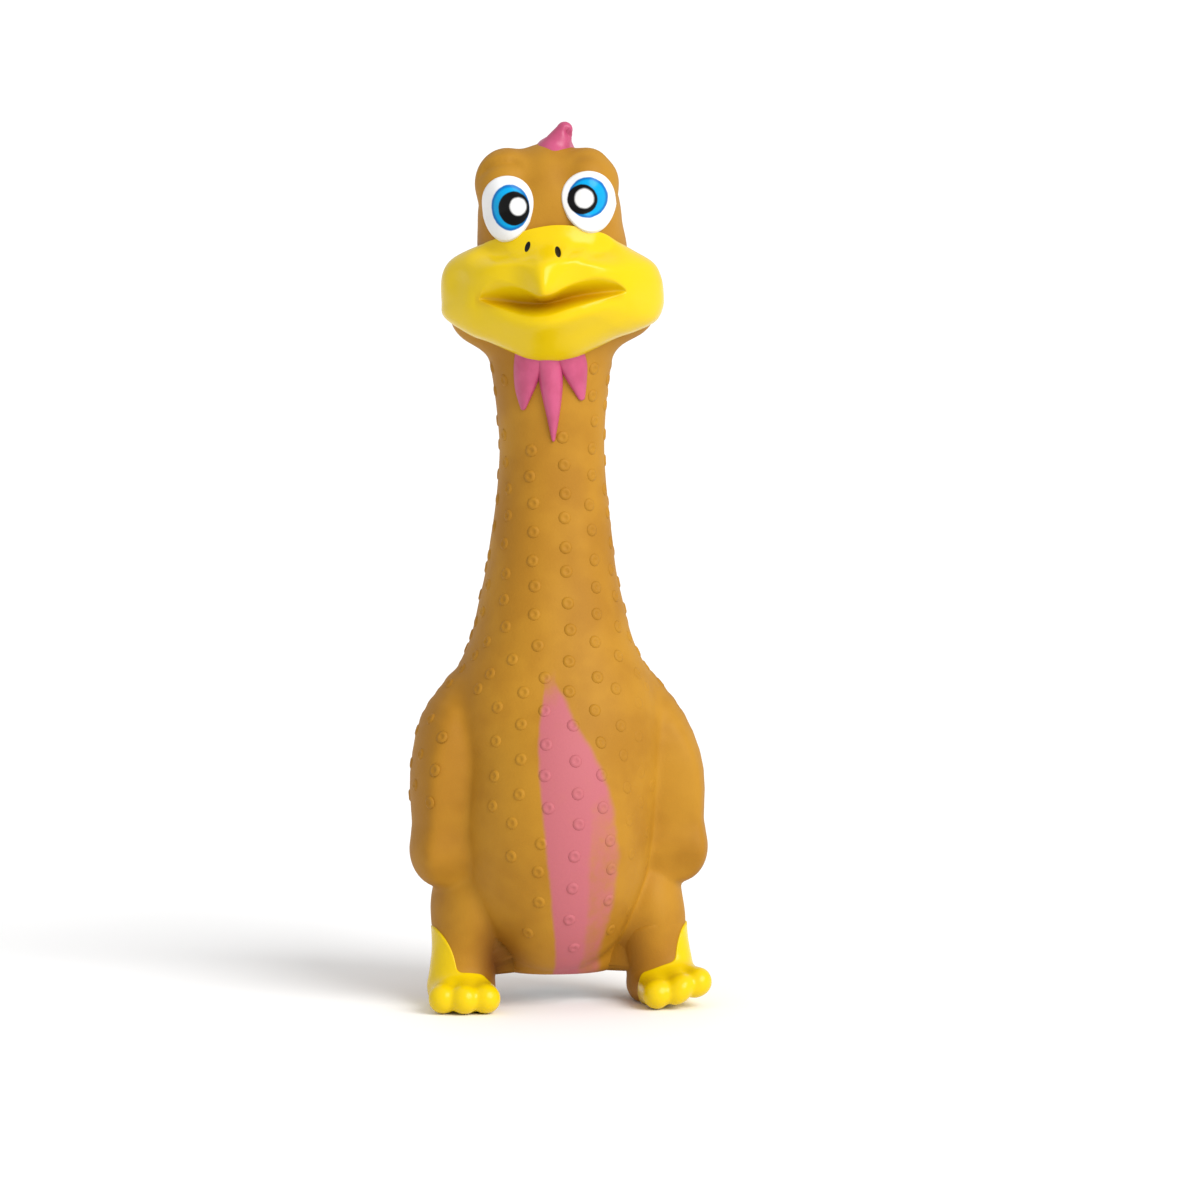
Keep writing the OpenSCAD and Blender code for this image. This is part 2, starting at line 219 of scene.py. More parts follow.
def turned_out(p):
    """Points of either side, moved to the left leg and turned with its foot. Both feet point outwards,
    and the outer toes of the left foot curl up a little."""
    right, ankle_y, curled = p[:, 0] < 0, -7, 2.1
    angle = np.radians(np.where(right, 9, 10))
    x, y = np.abs(p[:, 0]) - np.where(right, LEG_X, LEG_X + 0.3), p[:, 1] - ankle_y
    c, s = np.cos(angle), np.sin(angle)
    u, v = x * c + y * s, y * c - x * s
    curl = smoothstep((u + 5) / 11) * smoothstep(-v / 6) * ~right
    return np.column_stack([u + LEG_X, v + ankle_y, p[:, 2] - curled * curl])


def leg_form(p):
    """A leg that widens to the floor, with three rounded toes in front and a short heel."""
    q = turned_out(p)
    form = bone(q, (18, -5, 15), (19.9, -7, 4.5), 6.8, 6.2)
    form = unite(form, ellipsoid(q, (LEG_X + 0.4, -7, 3), (6, 10, 4.6)), 2)
    toes = None
    for place, reach in ((-1, -18), (0, -18.8), (1, -18)):
        toe = bone(q, (LEG_X + 2.6 * place, -8, 3.2), (LEG_X + 4.1 * place, reach, 3.0), 2.6, 2.7)
        toes = toe if toes is None else unite(toes, toe, 0.9)
    form = unite(form, toes, 1.6)
    return cross(form, -p[:, 2], 0.8)


def to_head(p):
    """Points of the row frame, in the frame of a head that looks straight ahead."""
    c, s = math.cos(HEAD_TURN), math.sin(HEAD_TURN)
    q = (p - HEAD_PIVOT) @ np.array([[c, -s, 0], [s, c, 0], [0, 0, 1]])
    c, s = math.cos(HEAD_TIP), math.sin(HEAD_TIP)
    return q @ np.array([[c, 0, s], [0, 1, 0], [-s, 0, c]]) + np.array([0, 0, HEAD_PIVOT[2]])


def from_head(q):
    """The way back of to_head."""
    c, s = math.cos(HEAD_TIP), math.sin(HEAD_TIP)
    p = (q - np.array([0, 0, HEAD_PIVOT[2]])) @ np.array([[c, 0, -s], [0, 1, 0], [s, 0, c]])
    c, s = math.cos(HEAD_TURN), math.sin(HEAD_TURN)
    return p @ np.array([[c, s, 0], [-s, c, 0], [0, 0, 1]]) + HEAD_PIVOT


# Middles of the right and the left eye in the head's front view, and how deep the crease over each is
EYES = ((-7.0, 157.2), (9.0, 157.7))
BROW_CREASES = (0.85, 0.3)


def head_form(p):
    """Skull, brow lumps, mound under the comb and cheeks. The skull is a superellipsoid, the lumps are
    ellipsoids, and the creases over the eyes are a Gaussian groove along an oval."""
    q = to_head(p)
    radii = np.array([14.1, 14.6, 16.6])
    skull = (np.sum(np.abs((q - np.array([0.5, 0, 151])) / radii) ** 2.7, axis=1) ** (1 / 2.7) - 1) * 14
    m = np.column_stack([np.abs(q[:, 0] - 0.4), q[:, 1], q[:, 2]])
    right_brow = ellipsoid(q, (-7.0, -6.5, 161.6), (6.4, 7.4, 7.0))
    left_brow = ellipsoid(q, (8.4, -6.5, 160.9), (6.3, 7.4, 7.0))
    mound = ellipsoid(q, (0.9, -4, 161.0), (6.4, 9.2, 7.6))
    cheek = ellipsoid(m, (12.2, -2, 136.6), (8.2, 7.4, 7.2))
    form = unite(skull, right_brow, 1.5)
    form = unite(form, left_brow, 1.5)
    form = unite(form, mound, 3.5)
    form = unite(form, cheek, 4)
    for (x, z), deep in zip(EYES, BROW_CREASES):
        outwards, up = (q[:, 0] - x) * np.sign(x), q[:, 2] - z
        ring = np.hypot(outwards / 7.6, up / 8.8)
        over = smoothstep((up - 3) / 3) * smoothstep((outwards + 4) / 3)
        over = over * smoothstep((6.5 - outwards) / 3) * smoothstep((1 - q[:, 1]) / 3)
        form = form + deep * np.exp(-((ring - 1) / 0.09) ** 2) * over
    return form


def moulding(p):
    """Field of the whole moulding without its lower legs."""
    form = np.full(len(p), 99.0)
    low = p[:, 2] < 100
    if low.any():
        form[low] = body_form(p[low])
    if not low.all():
        form[~low] = trunk(p[~low])
        high = p[:, 2] > 112
        form[high] = unite(form[high], head_form(p[high]), 4)
    return form


def leg_share(body, legs):
    """0 on the body's side of the crease round a leg and 1 on the leg's side."""
    return smoothstep((body - legs) / 3 + 0.5)


def skin_field(p):
    """The moulding with the tops of its legs, where it goes a hair under the legs."""
    form = moulding(p)
    low = p[:, 2] < 30
    if low.any():
        legs = leg_form(p[low])
        share = leg_share(form[low], legs)
        form[low] = unite(form[low], legs, 2.4) + 0.1 * share + 3 * share * smoothstep((9 - p[low, 2]) / 4)
    return form


def leg_field(p):
    """A leg where it goes a hair under the body's skin."""
    form, legs = moulding(p), leg_form(p)
    share = leg_share(form, legs)
    cap = ellipsoid(np.column_stack([np.abs(p[:, 0]), p[:, 1], p[:, 2]]), (19.5, -6, 5), (11, 19, 12))
    sole = 0.2 - p[:, 2]
    return np.maximum(np.maximum(unite(form, legs, 2.4) + 0.1 * (1 - share), cap), sole)


def foot_field(p):
    """The painted part of a leg: its toes, its heel and a patch up the outside, a coat of paint proud."""
    q = turned_out(p)
    patch = unite(
        ellipsoid(q, (LEG_X, -14, 0.5), (9.4, 16, 6.9)),
        ellipsoid(q, (25.6, -6, 5), (6.3, 12, 10.6)), 1.5,
    )
    inside = np.where(p[:, 0] < 0, 14, 12)
    patch = cross(patch, 0.8 * (inside - q[:, 0]) + 0.6 * (q[:, 1] + 13.5), 1)
    return np.maximum(np.maximum(leg_field(p) - 0.24, patch), 0.03 - p[:, 2])


def outermost(field, origins, ways, reach):
    """Distance along each ray, from its origin outwards, to where the field is last zero: it marches
    inwards from beyond the form by the field's own value until it arrives."""
    t = np.full(len(origins), float(reach))
    for _ in range(54):
        step = field(origins + ways * t[:, None])
        t = np.maximum(t - SKIN_STRIDE * step, 0.2)
    return t


def normals_of(field, p):
    """Unit gradient of the field, by differences over a twentieth of a millimetre."""
    step = 0.05
    slope = np.column_stack([field(p + step * axis) - field(p - step * axis) for axis in np.eye(3)])
    return slope / np.maximum(np.linalg.norm(slope, axis=1, keepdims=True), 1e-9)


# ---------------------------------------------------------------- meshes

def grid_faces(rows, columns, wrap_rows=False):
    """Four-sided faces of a grid whose columns close on themselves, and its rows too if asked."""
    last = rows if wrap_rows else rows - 1
    i, j = np.meshgrid(np.arange(last), np.arange(columns), indexing="ij")
    a = i * columns + j
    b = i * columns + (j + 1) % columns
    up = (i + 1) % rows * columns
    return np.stack([a, b, up + (j + 1) % columns, up + j], axis=-1).reshape(-1, 4)


def cap_faces(start, columns, pole, first):
    """Three-sided faces from a row of the grid to a pole."""
    a = start + np.arange(columns)
    b = start + (np.arange(columns) + 1) % columns
    pole = np.full(columns, pole)
    return np.stack([b, a, pole] if first else [a, b, pole], axis=-1)


def new_mesh(name, points, faces, material, attributes=None, sharp_rows=(), columns=1):
    """An object at the origin from points in mm and lists of faces, smooth but for the sharp rows."""
    mesh = bpy.data.meshes.new(name)
    points = np.asarray(points, float).reshape(-1, 3) * MM
    mesh.vertices.add(len(points))
    mesh.vertices.foreach_set("co", points.astype(np.float32).ravel())
    sizes = np.concatenate([np.full(len(f), f.shape[1]) for f in faces])
    corners = np.concatenate([f.ravel() for f in faces]).astype(np.int32)
    mesh.loops.add(len(corners))
    mesh.loops.foreach_set("vertex_index", corners)
    mesh.polygons.add(len(sizes))
    mesh.polygons.foreach_set("loop_start", (np.cumsum(sizes) - sizes).astype(np.int32))
    mesh.update(calc_edges=True)
    mesh.shade_smooth()
    for key, values in (attributes or {}).items():
        kind, slot = ("FLOAT_VECTOR", "vector") if np.ndim(values) == 2 else ("FLOAT", "value")
        made = mesh.attributes.new(key, kind, "POINT")
        made.data.foreach_set(slot, np.asarray(values, np.float32).ravel())
    if len(sharp_rows):
        ends = np.empty(len(mesh.edges) * 2, np.int32)
        mesh.edges.foreach_get("vertices", ends)
        row = ends.reshape(-1, 2) // columns
        sharp = (row[:, 0] == row[:, 1]) & np.isin(row[:, 0], sharp_rows)
        mesh.attributes.new("sharp_edge", "BOOLEAN", "EDGE").data.foreach_set("value", sharp)
    mesh.materials.append(material)
    made = bpy.data.objects.new(name, mesh)
    bpy.context.scene.collection.objects.link(made)
    return made


def ball_rays(centre, rows, columns):
    """Rays from a centre in every direction, from straight down to straight up, without the poles."""
    lift = np.linspace(-math.pi / 2, math.pi / 2, rows + 2)[1:-1]
    turn = np.linspace(0, 2 * math.pi, columns, endpoint=False)
    lift, turn = np.meshgrid(lift, turn, indexing="ij")
    ways = np.stack([np.cos(lift) * np.cos(turn), np.cos(lift) * np.sin(turn), np.sin(lift)], axis=-1)
    ways = ways.reshape(-1, 3)
    return np.tile(np.array(centre, float), (len(ways), 1)), ways


def round_piece(name, field, centre, reach, rows, columns, material, painted=None):
    """A closed piece whose surface is the field's, as seen from one centre inside it."""
    origins, ways = ball_rays(centre, rows, columns)
    poles = np.array([[0, 0, -1.0], [0, 0, 1.0]])
    origins = np.vstack([origins, np.tile(origins[:1], (2, 1))])
    ways = np.vstack([ways, poles])
    points = origins + ways * outermost(field, origins, ways, reach)[:, None]
    count = rows * columns
    faces = [
        grid_faces(rows, columns),
        cap_faces(0, columns, count, True),
        cap_faces(count - columns, columns, count + 1, False),
    ]
    return new_mesh(name, points, faces, material, painted(points) if painted else None)


# ---------------------------------------------------------------- materials

def add_node(tree, kind, inputs=None, **settings):
    """A node with its settings, and with each named input set to a value or linked to a socket."""
    made = tree.nodes.new(kind)
    for name, value in settings.items():
        setattr(made, name, value)
    for name, value in (inputs or {}).items():
        if isinstance(value, bpy.types.NodeSocket):
            tree.links.new(value, made.inputs[name])
        else:
            made.inputs[name].default_value = value
    return made


def finish_of(name, **sockets):
    """A new material with one shader, its tree, and that shader."""
    material = bpy.data.materials.new(name)
    material.use_nodes = True
    tree = material.node_tree
    tree.nodes.clear()
    shader = add_node(tree, "ShaderNodeBsdfPrincipled", sockets)
    add_node(tree, "ShaderNodeOutputMaterial", {"Surface": shader.outputs["BSDF"]})
    return material, tree, shader


def grain(tree, size_mm, detail=3.0, place=None):
    """Noise whose lumps are so many millimetres wide, on Object coordinates."""
    place = place or add_node(tree, "ShaderNodeTexCoord").outputs["Object"]
    return add_node(tree, "ShaderNodeTexNoise", {
        "Vector": place, "Scale": 1 / (size_mm * MM), "Detail": detail, "Roughness": 0.55})


def between(tree, share, low, high, to_low=0.0, to_high=1.0):
    """A value carried from one range to another, smoothly and clamped."""
    return add_node(tree, "ShaderNodeMapRange", {
        "Value": share, "From Min": low, "From Max": high, "To Min": to_low, "To Max": to_high,
    }, interpolation_type="SMOOTHSTEP").outputs["Result"]


def blended(tree, share, one, other):
    """Colour one where share is 0 and the other where it is 1."""
    made = add_node(tree, "ShaderNodeMix", {"Factor": share}, data_type="RGBA")
    for socket, value in ((made.inputs[6], one), (made.inputs[7], other)):
        if isinstance(value, bpy.types.NodeSocket):
            tree.links.new(value, socket)
        else:
            socket.default_value = (*value, 1)
    return made.outputs[2]


def bumped(tree, shader, height, depth_mm):
    """Gives the shader a bump of so many millimetres."""
    bump = add_node(tree, "ShaderNodeBump", {"Height": height, "Distance": depth_mm * MM, "Strength": 1.0})
    tree.links.new(bump.outputs["Normal"], shader.inputs["Normal"])


def latex_finish(colours):
    """Natural latex, slush-moulded in plaster and dyed brown. The plaster leaves it matt with a fine
    grain, the dye is a little uneven, and the breast has a band of pink sprayed on, with soft edges.
    The hollows between the belly and each leg are painted darker, as shade."""
    material, tree, shader = finish_of(
        "slush_moulded_latex", **{"Roughness": 0.62, "IOR": 1.52, "Specular IOR Level": 0.22})
    clouds = between(tree, grain(tree, 16).outputs["Fac"], 0.35, 0.65)
    dye = blended(tree, clouds, colours.latex, colours.latex_deep)
    # painted shade: the latex is darker in the hollows between the belly and each leg
    pool = add_node(tree, "ShaderNodeAttribute", attribute_name="dye")
    dye = blended(tree, pool.outputs["Fac"], dye, colours.crease_shade)
    stripe = add_node(tree, "ShaderNodeAttribute", attribute_name="stripe")
    spots = between(tree, grain(tree, 3.5).outputs["Fac"], 0.2, 0.8, -0.12, 0.12)
    thick = add_node(tree, "ShaderNodeMath", {0: stripe.outputs["Fac"], 1: spots}, operation="ADD")
    tree.links.new(
        blended(tree, between(tree, thick.outputs[0], 0.12, 0.9), dye, colours.stripe),
        shader.inputs["Base Color"])
    bumped(tree, shader, grain(tree, 0.45, 2).outputs["Fac"], 0.035)
    return material


def gloss_paint(colours):
    """Latex paint, brushed thick on the moulding. It levels as it dries, so it is glossy with a faint
    orange peel, and it is black in the two nostrils. It is a deeper yellow along the mouth's groove,
    where shade is painted in."""
    material, tree, shader = finish_of(
        "brushed_yellow_latex_paint",
        **{"Roughness": 0.26, "IOR": 1.5, "Specular IOR Level": 0.21})
    # painted shade: a deeper yellow along the mouth's groove
    mouth_shade = add_node(tree, "ShaderNodeAttribute", attribute_name="pool")
    colour = blended(tree, mouth_shade.outputs["Fac"], colours.yellow, colours.yellow_shaded)
    nostril = add_node(tree, "ShaderNodeAttribute", attribute_name="nostril")
    colour = blended(tree, between(tree, nostril.outputs["Fac"], 0.4, 0.6), colour, colours.pupil)
    tree.links.new(colour, shader.inputs["Base Color"])
    bumped(tree, shader, grain(tree, 3.2, 2).outputs["Fac"], 0.08)
    return material


def satin_paint(colours):
    """Pink latex paint in one thin coat, so some of the moulding's grain shows and it is satin."""
    material, tree, shader = finish_of("thin_pink_latex_paint", **{"Roughness": 0.42, "IOR": 1.5})
    clouds = between(tree, grain(tree, 5).outputs["Fac"], 0.35, 0.7)
    tree.links.new(blended(tree, clouds, colours.pink, colours.pink_deep), shader.inputs["Base Color"])
    bumped(tree, shader, grain(tree, 0.8, 2).outputs["Fac"], 0.05)
    return material


def eye_paint(colours):
    """Hand-painted eye in four coats of gloss: white, a blue iris with a darker rim, a black pupil and
    a white spot. The attribute "paint" holds how far inside each coat's edge a point is, in mm."""
    material, tree, shader = finish_of(
        "hand_painted_eye_gloss", **{"Roughness": 0.25, "IOR": 1.5, "Specular IOR Level": 0.15})
    paint = add_node(tree, "ShaderNodeAttribute", attribute_name="paint")
    coats = add_node(tree, "ShaderNodeSeparateXYZ", {"Vector": paint.outputs["Vector"]})
    brush = between(tree, grain(tree, 1.2, 2).outputs["Fac"], 0.2, 0.8, -0.05, 0.05)
    colour = colours.sclera
    layers = (("X", colours.iris, 0.12), ("Y", colours.pupil, 0.14), ("Z", colours.sclera, 0.25))
    for coat, inner, soft in layers:
        edge = add_node(tree, "ShaderNodeMath", {0: coats.outputs[coat], 1: brush}, operation="ADD")
        if coat == "X":
            inner = blended(tree, between(tree, coats.outputs[coat], 0.25, 0.7), colours.iris_rim, inner)
        colour = blended(tree, between(tree, edge.outputs[0], -soft, soft), colour, inner)
    tree.links.new(colour, shader.inputs["Base Color"])
    bumped(tree, shader, grain(tree, 2.2, 2).outputs["Fac"], 0.04)
    return material


def fibre_finish():
    """Crimped polyester fibre, carded into a loose white batt: no gloss, with a tangled surface."""
    material, tree, shader = finish_of(
        "carded_polyester_fibre", **{"Roughness": 0.9, "Sheen Weight": 0.4, "Sheen Roughness": 0.5})
    tangle = grain(tree, 2, 6).outputs["Fac"]
    tree.links.new(
        blended(tree, tangle, linear("F4F2EC"), linear("DAD6CC")), shader.inputs["Base Color"])
    bumped(tree, shader, tangle, 0.6)
    return material


def plastic_finish():
    """Low-density polyethylene, injection-moulded: milky and soft, with a satin skin."""
    material, tree, shader = finish_of(
        "moulded_polyethylene",
        **{"Roughness": 0.38, "IOR": 1.51, "Subsurface Weight": 0.3, "Subsurface Scale": 0.001})
    flow = between(tree, grain(tree, 6, 2).outputs["Fac"], 0.3, 0.7)
    tree.links.new(blended(tree, flow, linear("EDF1F3"), linear("DDE4E8")), shader.inputs["Base Color"])
    bumped(tree, shader, grain(tree, 0.8, 2).outputs["Fac"], 0.01)
    return material


def brass_finish():
    """Brass rod, turned: bright yellow metal with fine rings round its axis, drawn coarser than a tool
    leaves them so that they show."""
    material, tree, shader = finish_of("turned_brass", **{"Metallic": 1.0, "Roughness": 0.3})
    place = add_node(tree, "ShaderNodeTexCoord").outputs["Object"]
    rings = add_node(tree, "ShaderNodeTexWave", {"Vector": place, "Scale": 1 / (1.2 * MM), "Distortion": 0.4},
                     bands_direction="Z")
    tree.links.new(
        blended(tree, rings.outputs["Fac"], linear("D9B25A"), linear("C29A44")), shader.inputs["Base Color"])
    bumped(tree, shader, rings.outputs["Fac"], 0.01)
    return material


FINISHES = {}


def finish_named(name):
    """The finish of that name, made once and shared by the pieces that have it."""
    makers = {
        "latex": lambda: latex_finish(bpy.context.scene.chicken_colours),
        "yellow_paint": lambda: gloss_paint(bpy.context.scene.chicken_colours),
        "pink_paint": lambda: satin_paint(bpy.context.scene.chicken_colours),
        "white_paint": lambda: eye_paint(bpy.context.scene.chicken_colours),
        "fibre": fibre_finish,
        "clear_plastic": plastic_finish,
        "brass": brass_finish,
    }
    if name not in FINISHES:
        FINISHES[name] = makers[name]()
    return FINISHES[name]


# ---------------------------------------------------------------- the skin

# The squeeze of the breast would grow from nothing at the first point to all at the second; nothing here
# squeezes it
BREAST = ((0, -0.0135, 0.037), (0, -0.0265, 0.037))

# The neck's bending sections under the jaw: name, lower and upper seam, and the bodies they join
NECK_SECTIONS = (
    ("lower_neck", Z_ROOT, Z_LOW, "torso", "lower_neck"),
    ("middle_neck", Z_LOW, Z_MID, "lower_neck", "upper_neck"),
)

# The sprayed band on the breast: height, left edge, right edge
STRIPE = curve_through([
    (4, -1.9, 8.2), (12, -3.0, 6.6), (20, -4.2, 8.2), (30, -5.6, 9.0), (38, -6.4, 8.2), (46, -7.0, 6.0),
    (53, -7.0, 3.0), (58, -6.3, 0.2), (62, -5.4, -1.6), (65, -4.8, -3.4),
])


def stripe_at(p):
    """How much pink lies at each point: 1 inside the band, falling to 0 over its soft edge."""
    x, y, z = p[:, 0], p[:, 1], p[:, 2]
    left, right = (np.interp(z, STRIPE[:, 0], STRIPE[:, i]) for i in (1, 2))
    inside = np.minimum((x - left) / 0.7, (right - x) / 1.3)
    ends = np.minimum((64 - z) / 6, (z - 5) / 1.5)
    thin = 0.92 - 0.34 * smoothstep((x - 1.8) / 1.6) * smoothstep((46 - z) / 10)
    return smoothstep(np.minimum(inside, ends) * 0.5 + 0.5) * thin * (y < -5)


def painted_crease_shade_at(p):
    """Painted shade in the hollow between the belly and each leg: how much darker the latex is there,
    more on the right side, which is turned from the light.
    """
    x, y, z = p[:, 0], p[:, 1], p[:, 2]
    side = np.where(x < 0, 1.0, 0.25)
    return side * hump(np.abs(x), z, (13.2, 9), 4.2, 6.5) * smoothstep((6 - y) / 6)


def level_rays(levels, columns):
    """Rays that run out level from the toy's axis, one row of them at each height. The axis bends back
    to the collar's middle at the base, and to the head's side at the crown."""
    turn = np.linspace(0, 2 * math.pi, columns, endpoint=False)
    z, turn = np.meshgrid(np.asarray(levels, float), turn, indexing="ij")
    y = COLLAR_Y * smoothstep((44 - z) / 16)
    x = -1.2 * smoothstep((z - 120) / 30)
    origins = np.stack([x, y, z], axis=-1)
    ways = np.stack([np.cos(turn), np.sin(turn), np.zeros_like(turn)], axis=-1)
    return origins, ways


def fan_rays(height, lifts, columns):
    """Rays that fan up or down from one point of the axis, one row of them at each lift."""
    origins, ways = level_rays(np.full(len(lifts), float(height)), columns)
    lifts = np.asarray(lifts)[:, None, None]
    return origins, ways * np.cos(lifts) + np.array([0, 0, 1.0]) * np.sin(lifts)


def least_near(t, rise, columns, rows=0):
    """At each place of a grid, the least of its neighbours' values, each raised by so much a step."""
    found = t.copy()
    for step in range(1, columns + 1):
        for way in (-step, step):
            found = np.minimum(found, np.roll(t, way, axis=1) + rise * step)
    for step in range(1, rows + 1):
        found[step:] = np.minimum(found[step:], t[:-step] + rise * step)
        found[:-step] = np.minimum(found[:-step], t[step:] + rise * step)
    return found


def smoothed(t, share):
    """A grid eased towards the mean of its near places by a share, and left alone at its end rows."""
    mean = t.copy()
    for axis in (1, 0, 1, 0):
        mean = sum(np.roll(mean, step, axis=axis) for step in (-2, -1, 0, 1, 2)) / 5
        mean[:3], mean[-3:] = t[:3], t[-3:]
    return t + (mean - t) * np.clip(share, 0, 1)


def bend(piece):
    """Bakes the piece's place into its points and leaves it at the origin."""
    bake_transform(piece)


def skin_rows(rays, reach):
    """Outer points of the skin for rows of rays, and the points a wall's thickness inside them. Each
    ray ends where the field is zero. Where that jumps from one column to the next, as behind an arm,
    the row is cut back to a slope that the columns can follow, and is smoothed there."""
    origins, ways = (np.concatenate(part, axis=0) for part in zip(*rays))
    t = outermost(skin_field, origins.reshape(-1, 3), ways.reshape(-1, 3), reach)
    t = t.reshape(origins.shape[:2])
    columns = origins.shape[1]
    steepest, span = 2.6, max(1, columns // 48)
    eased = least_near(t, steepest * 2 * math.pi / columns * SKIN_R, span)
    share = smoothed((eased < t - 0.05).astype(float), 1.0)
    t = smoothed(smoothed(smoothed(eased, share), share), share)
    wall = bpy.context.scene.chicken_sizes.skin_wall / MM
    inner = least_near(t, 0, min(4, span)) - wall
    return origins + ways * t[..., None], origins + ways * inner[..., None]


def skin_section(name, outer, inner, pole=None):
    """A closed wall of skin: its outer rows upwards, and fewer inner rows back down. A pole closes
    the top of a section that has one."""
    rows, columns = outer.shape[:2]
    back = inner[np.linspace(rows - 1, 0, 14).astype(int)]
    if pole is None:
        points = np.concatenate([outer, back]).reshape(-1, 3)
        faces = [grid_faces(rows + len(back), columns, wrap_rows=True)]
        sharp = (0, rows - 1, rows, rows + len(back) - 1)
    else:
        points = np.concatenate([back, outer]).reshape(-1, 3)
        count = len(points)
        points = np.vstack([points, pole[1], pole[0]])
        faces = [
            grid_faces(rows + len(back), columns),
            cap_faces(0, columns, count, True),
            cap_faces(count - columns, columns, count + 1, False),
        ]
        sharp = (len(back) - 1, len(back))
    # the pink band, and the painted shade in the hollows by the legs
    marks = {"stripe": stripe_at(points), "dye": painted_crease_shade_at(points)}
    return new_mesh(name, points, faces, finish_named("latex"), marks, sharp, columns)


def heights(low, high, step):
    """Even heights from one level to another, both included."""
    return np.linspace(low, high, max(2, round((high - low) / step) + 1))


def make_skin(sizes):
    """The four sections of skin, which share their columns and so meet point to point. Their rows are
    where rays from the axis leave the moulding: level rays, then fans at the base and the crown, with
    steps that are even along the skin at its mean radius."""
    columns, step = sizes.skin_columns, sizes.skin_step / MM
    base_r, crown_r = 26, 17
    steepest = math.atan2(BASE_FAN - Z_BASE, COLLAR_R + 0.1)
    lifts = -heights(0, steepest, step / base_r)[:0:-1]
    outer, inner = skin_rows([
        fan_rays(BASE_FAN, lifts, columns),
        level_rays(heights(BASE_FAN, Z_ROOT, step), columns),
    ], BODY_REACH)
    outer[0, :, 2] = Z_BASE
    body = skin_section("body_skin", outer, inner)
    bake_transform(body)
    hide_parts("body_shell", "belly_panel", "left_wing", "right_wing", "tail")

    for name, low, high, one, other in NECK_SECTIONS:
        outer, inner = skin_rows([level_rays(heights(low, high, step), columns)], NECK_REACH)
        piece = skin_section(name + "_latex", outer, inner)
        bend(piece)
        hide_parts(name + "_skin")

    lifts = heights(0, math.pi / 2, step / crown_r)[1:-1]
    outer, inner = skin_rows([
        level_rays(heights(Z_MID, CROWN_FAN, step), columns),
        fan_rays(CROWN_FAN, lifts, columns),
    ], HEAD_REACH)
    crown = skin_rows([fan_rays(CROWN_FAN, [math.pi / 2], 1)], HEAD_REACH)
    head = skin_section("head_skin", outer, inner, (crown[0].reshape(1, 3), crown[1].reshape(1, 3)))
    bend(head)
    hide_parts("upper_neck_skin", "head_shell")


def fibre_piece(name, rays, low, high, first_rows=()):
    """A closed plug of fibre from one point to another. Its rows are where rays from the axis leave the
    skin, brought in by the wall and a small gap."""
    clear = bpy.context.scene.chicken_sizes.skin_wall / MM + 0.5
    origins, ways = (np.concatenate(part, axis=0) for part in zip(*rays))
    columns = origins.shape[1]
    t = outermost(skin_field, origins.reshape(-1, 3), ways.reshape(-1, 3), BODY_REACH)
    t = t.reshape(origins.shape[:2])
    rows = np.concatenate([*first_rows, origins + ways * (least_near(t, 0, 3, 2) - clear)[..., None]])
    count = len(rows) * columns
    faces = [
        grid_faces(len(rows), columns),
        cap_faces(0, columns, count, True),
        cap_faces(count - columns, columns, count + 1, False),
    ]
    points = np.vstack([rows.reshape(-1, 3), [low], [high]])
    piece = new_mesh(name, points, faces, finish_named("fibre"))
    return piece


def make_filling():
    """The fibre in the body, whose hollow the squeaker stands in, in the neck and in the head."""
    columns, step, gap = 120, 1.5, 0.05
    inside = [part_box(name) for name in ("squeaker_cup", "squeaker_cap", "reed_block", "reed_clamp", "reed")]
    top = max(box[1].z for box in inside) / MM + 0.6
    turn = np.linspace(0, 2 * math.pi, columns, endpoint=False)
    hollow = COLLAR_R + 0.5
    ring = np.stack([hollow * np.cos(turn), hollow * np.sin(turn) + COLLAR_Y, np.full(columns, top)], axis=-1)
    foot = ring * (1, 1, 0) + np.array([0, 0, Z_BASE + 4.5])
    lift = math.atan2(BASE_FAN - Z_BASE - 6, COLLAR_R + 2)
    body = fibre_piece("body_fibre", [
        fan_rays(BASE_FAN, -np.linspace(lift, 0, 8)[:-1], columns),
        level_rays(heights(BASE_FAN, Z_ROOT - gap, step), columns),
    ], (0, COLLAR_Y, top), (0, 0, Z_ROOT - gap), (ring[None], foot[None]))
    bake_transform(body)
    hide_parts("body_filling")
    for name, low, high, one, other in NECK_SECTIONS:
        rays = [level_rays(heights(low + gap, high - gap, step), columns)]
        piece = fibre_piece(name + "_fibre", rays, (0, 0, low + gap), (0, 0, high - gap))
        bend(piece)
        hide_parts(name + "_filling")
    head = fibre_piece("head_fibre", [
        level_rays(heights(Z_MID + gap, CROWN_FAN, step), columns),
        fan_rays(CROWN_FAN, np.linspace(0, math.pi / 2, 12)[1:-1], columns),
    ], (0, 0, Z_MID + gap), (-1.2, 0, 163))
    bend(head)
    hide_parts("head_filling")


# ---------------------------------------------------------------- rings

def ring_places(sizes):
    """Staggered places for the rings: rows up the skin, with as many in each as its girth allows,
    closer on the body than on the neck, and every second row moved by half a space. Each is (height,
    turn)."""
    random = np.random.default_rng(7)
    places = []
    z, odd = 12.5, False
    while z < 127:
        girth = 2 * math.pi * np.interp(z, TRUNK[:, 0], TRUNK[:, 1:3].mean(axis=1))
        pitch = sizes.ring_pitch / MM * (1 - 0.22 * smoothstep((76 - z) / 14))
        count = max(5, round(girth / (2.05 * pitch)))
        turn = (np.arange(count) + 0.5 * odd) * 2 * math.pi / count - math.pi / 2
        jitter = random.uniform(-1, 1, (count, 2)) * np.array([0.45, 0.5 / (girth / 6.3)])
        places.append(np.column_stack([z + jitter[:, 0], turn + jitter[:, 1]]))
        z += 2.65 + 0.5 * smoothstep((80 - z) / 20)
        odd = not odd
    return np.vstack(places)


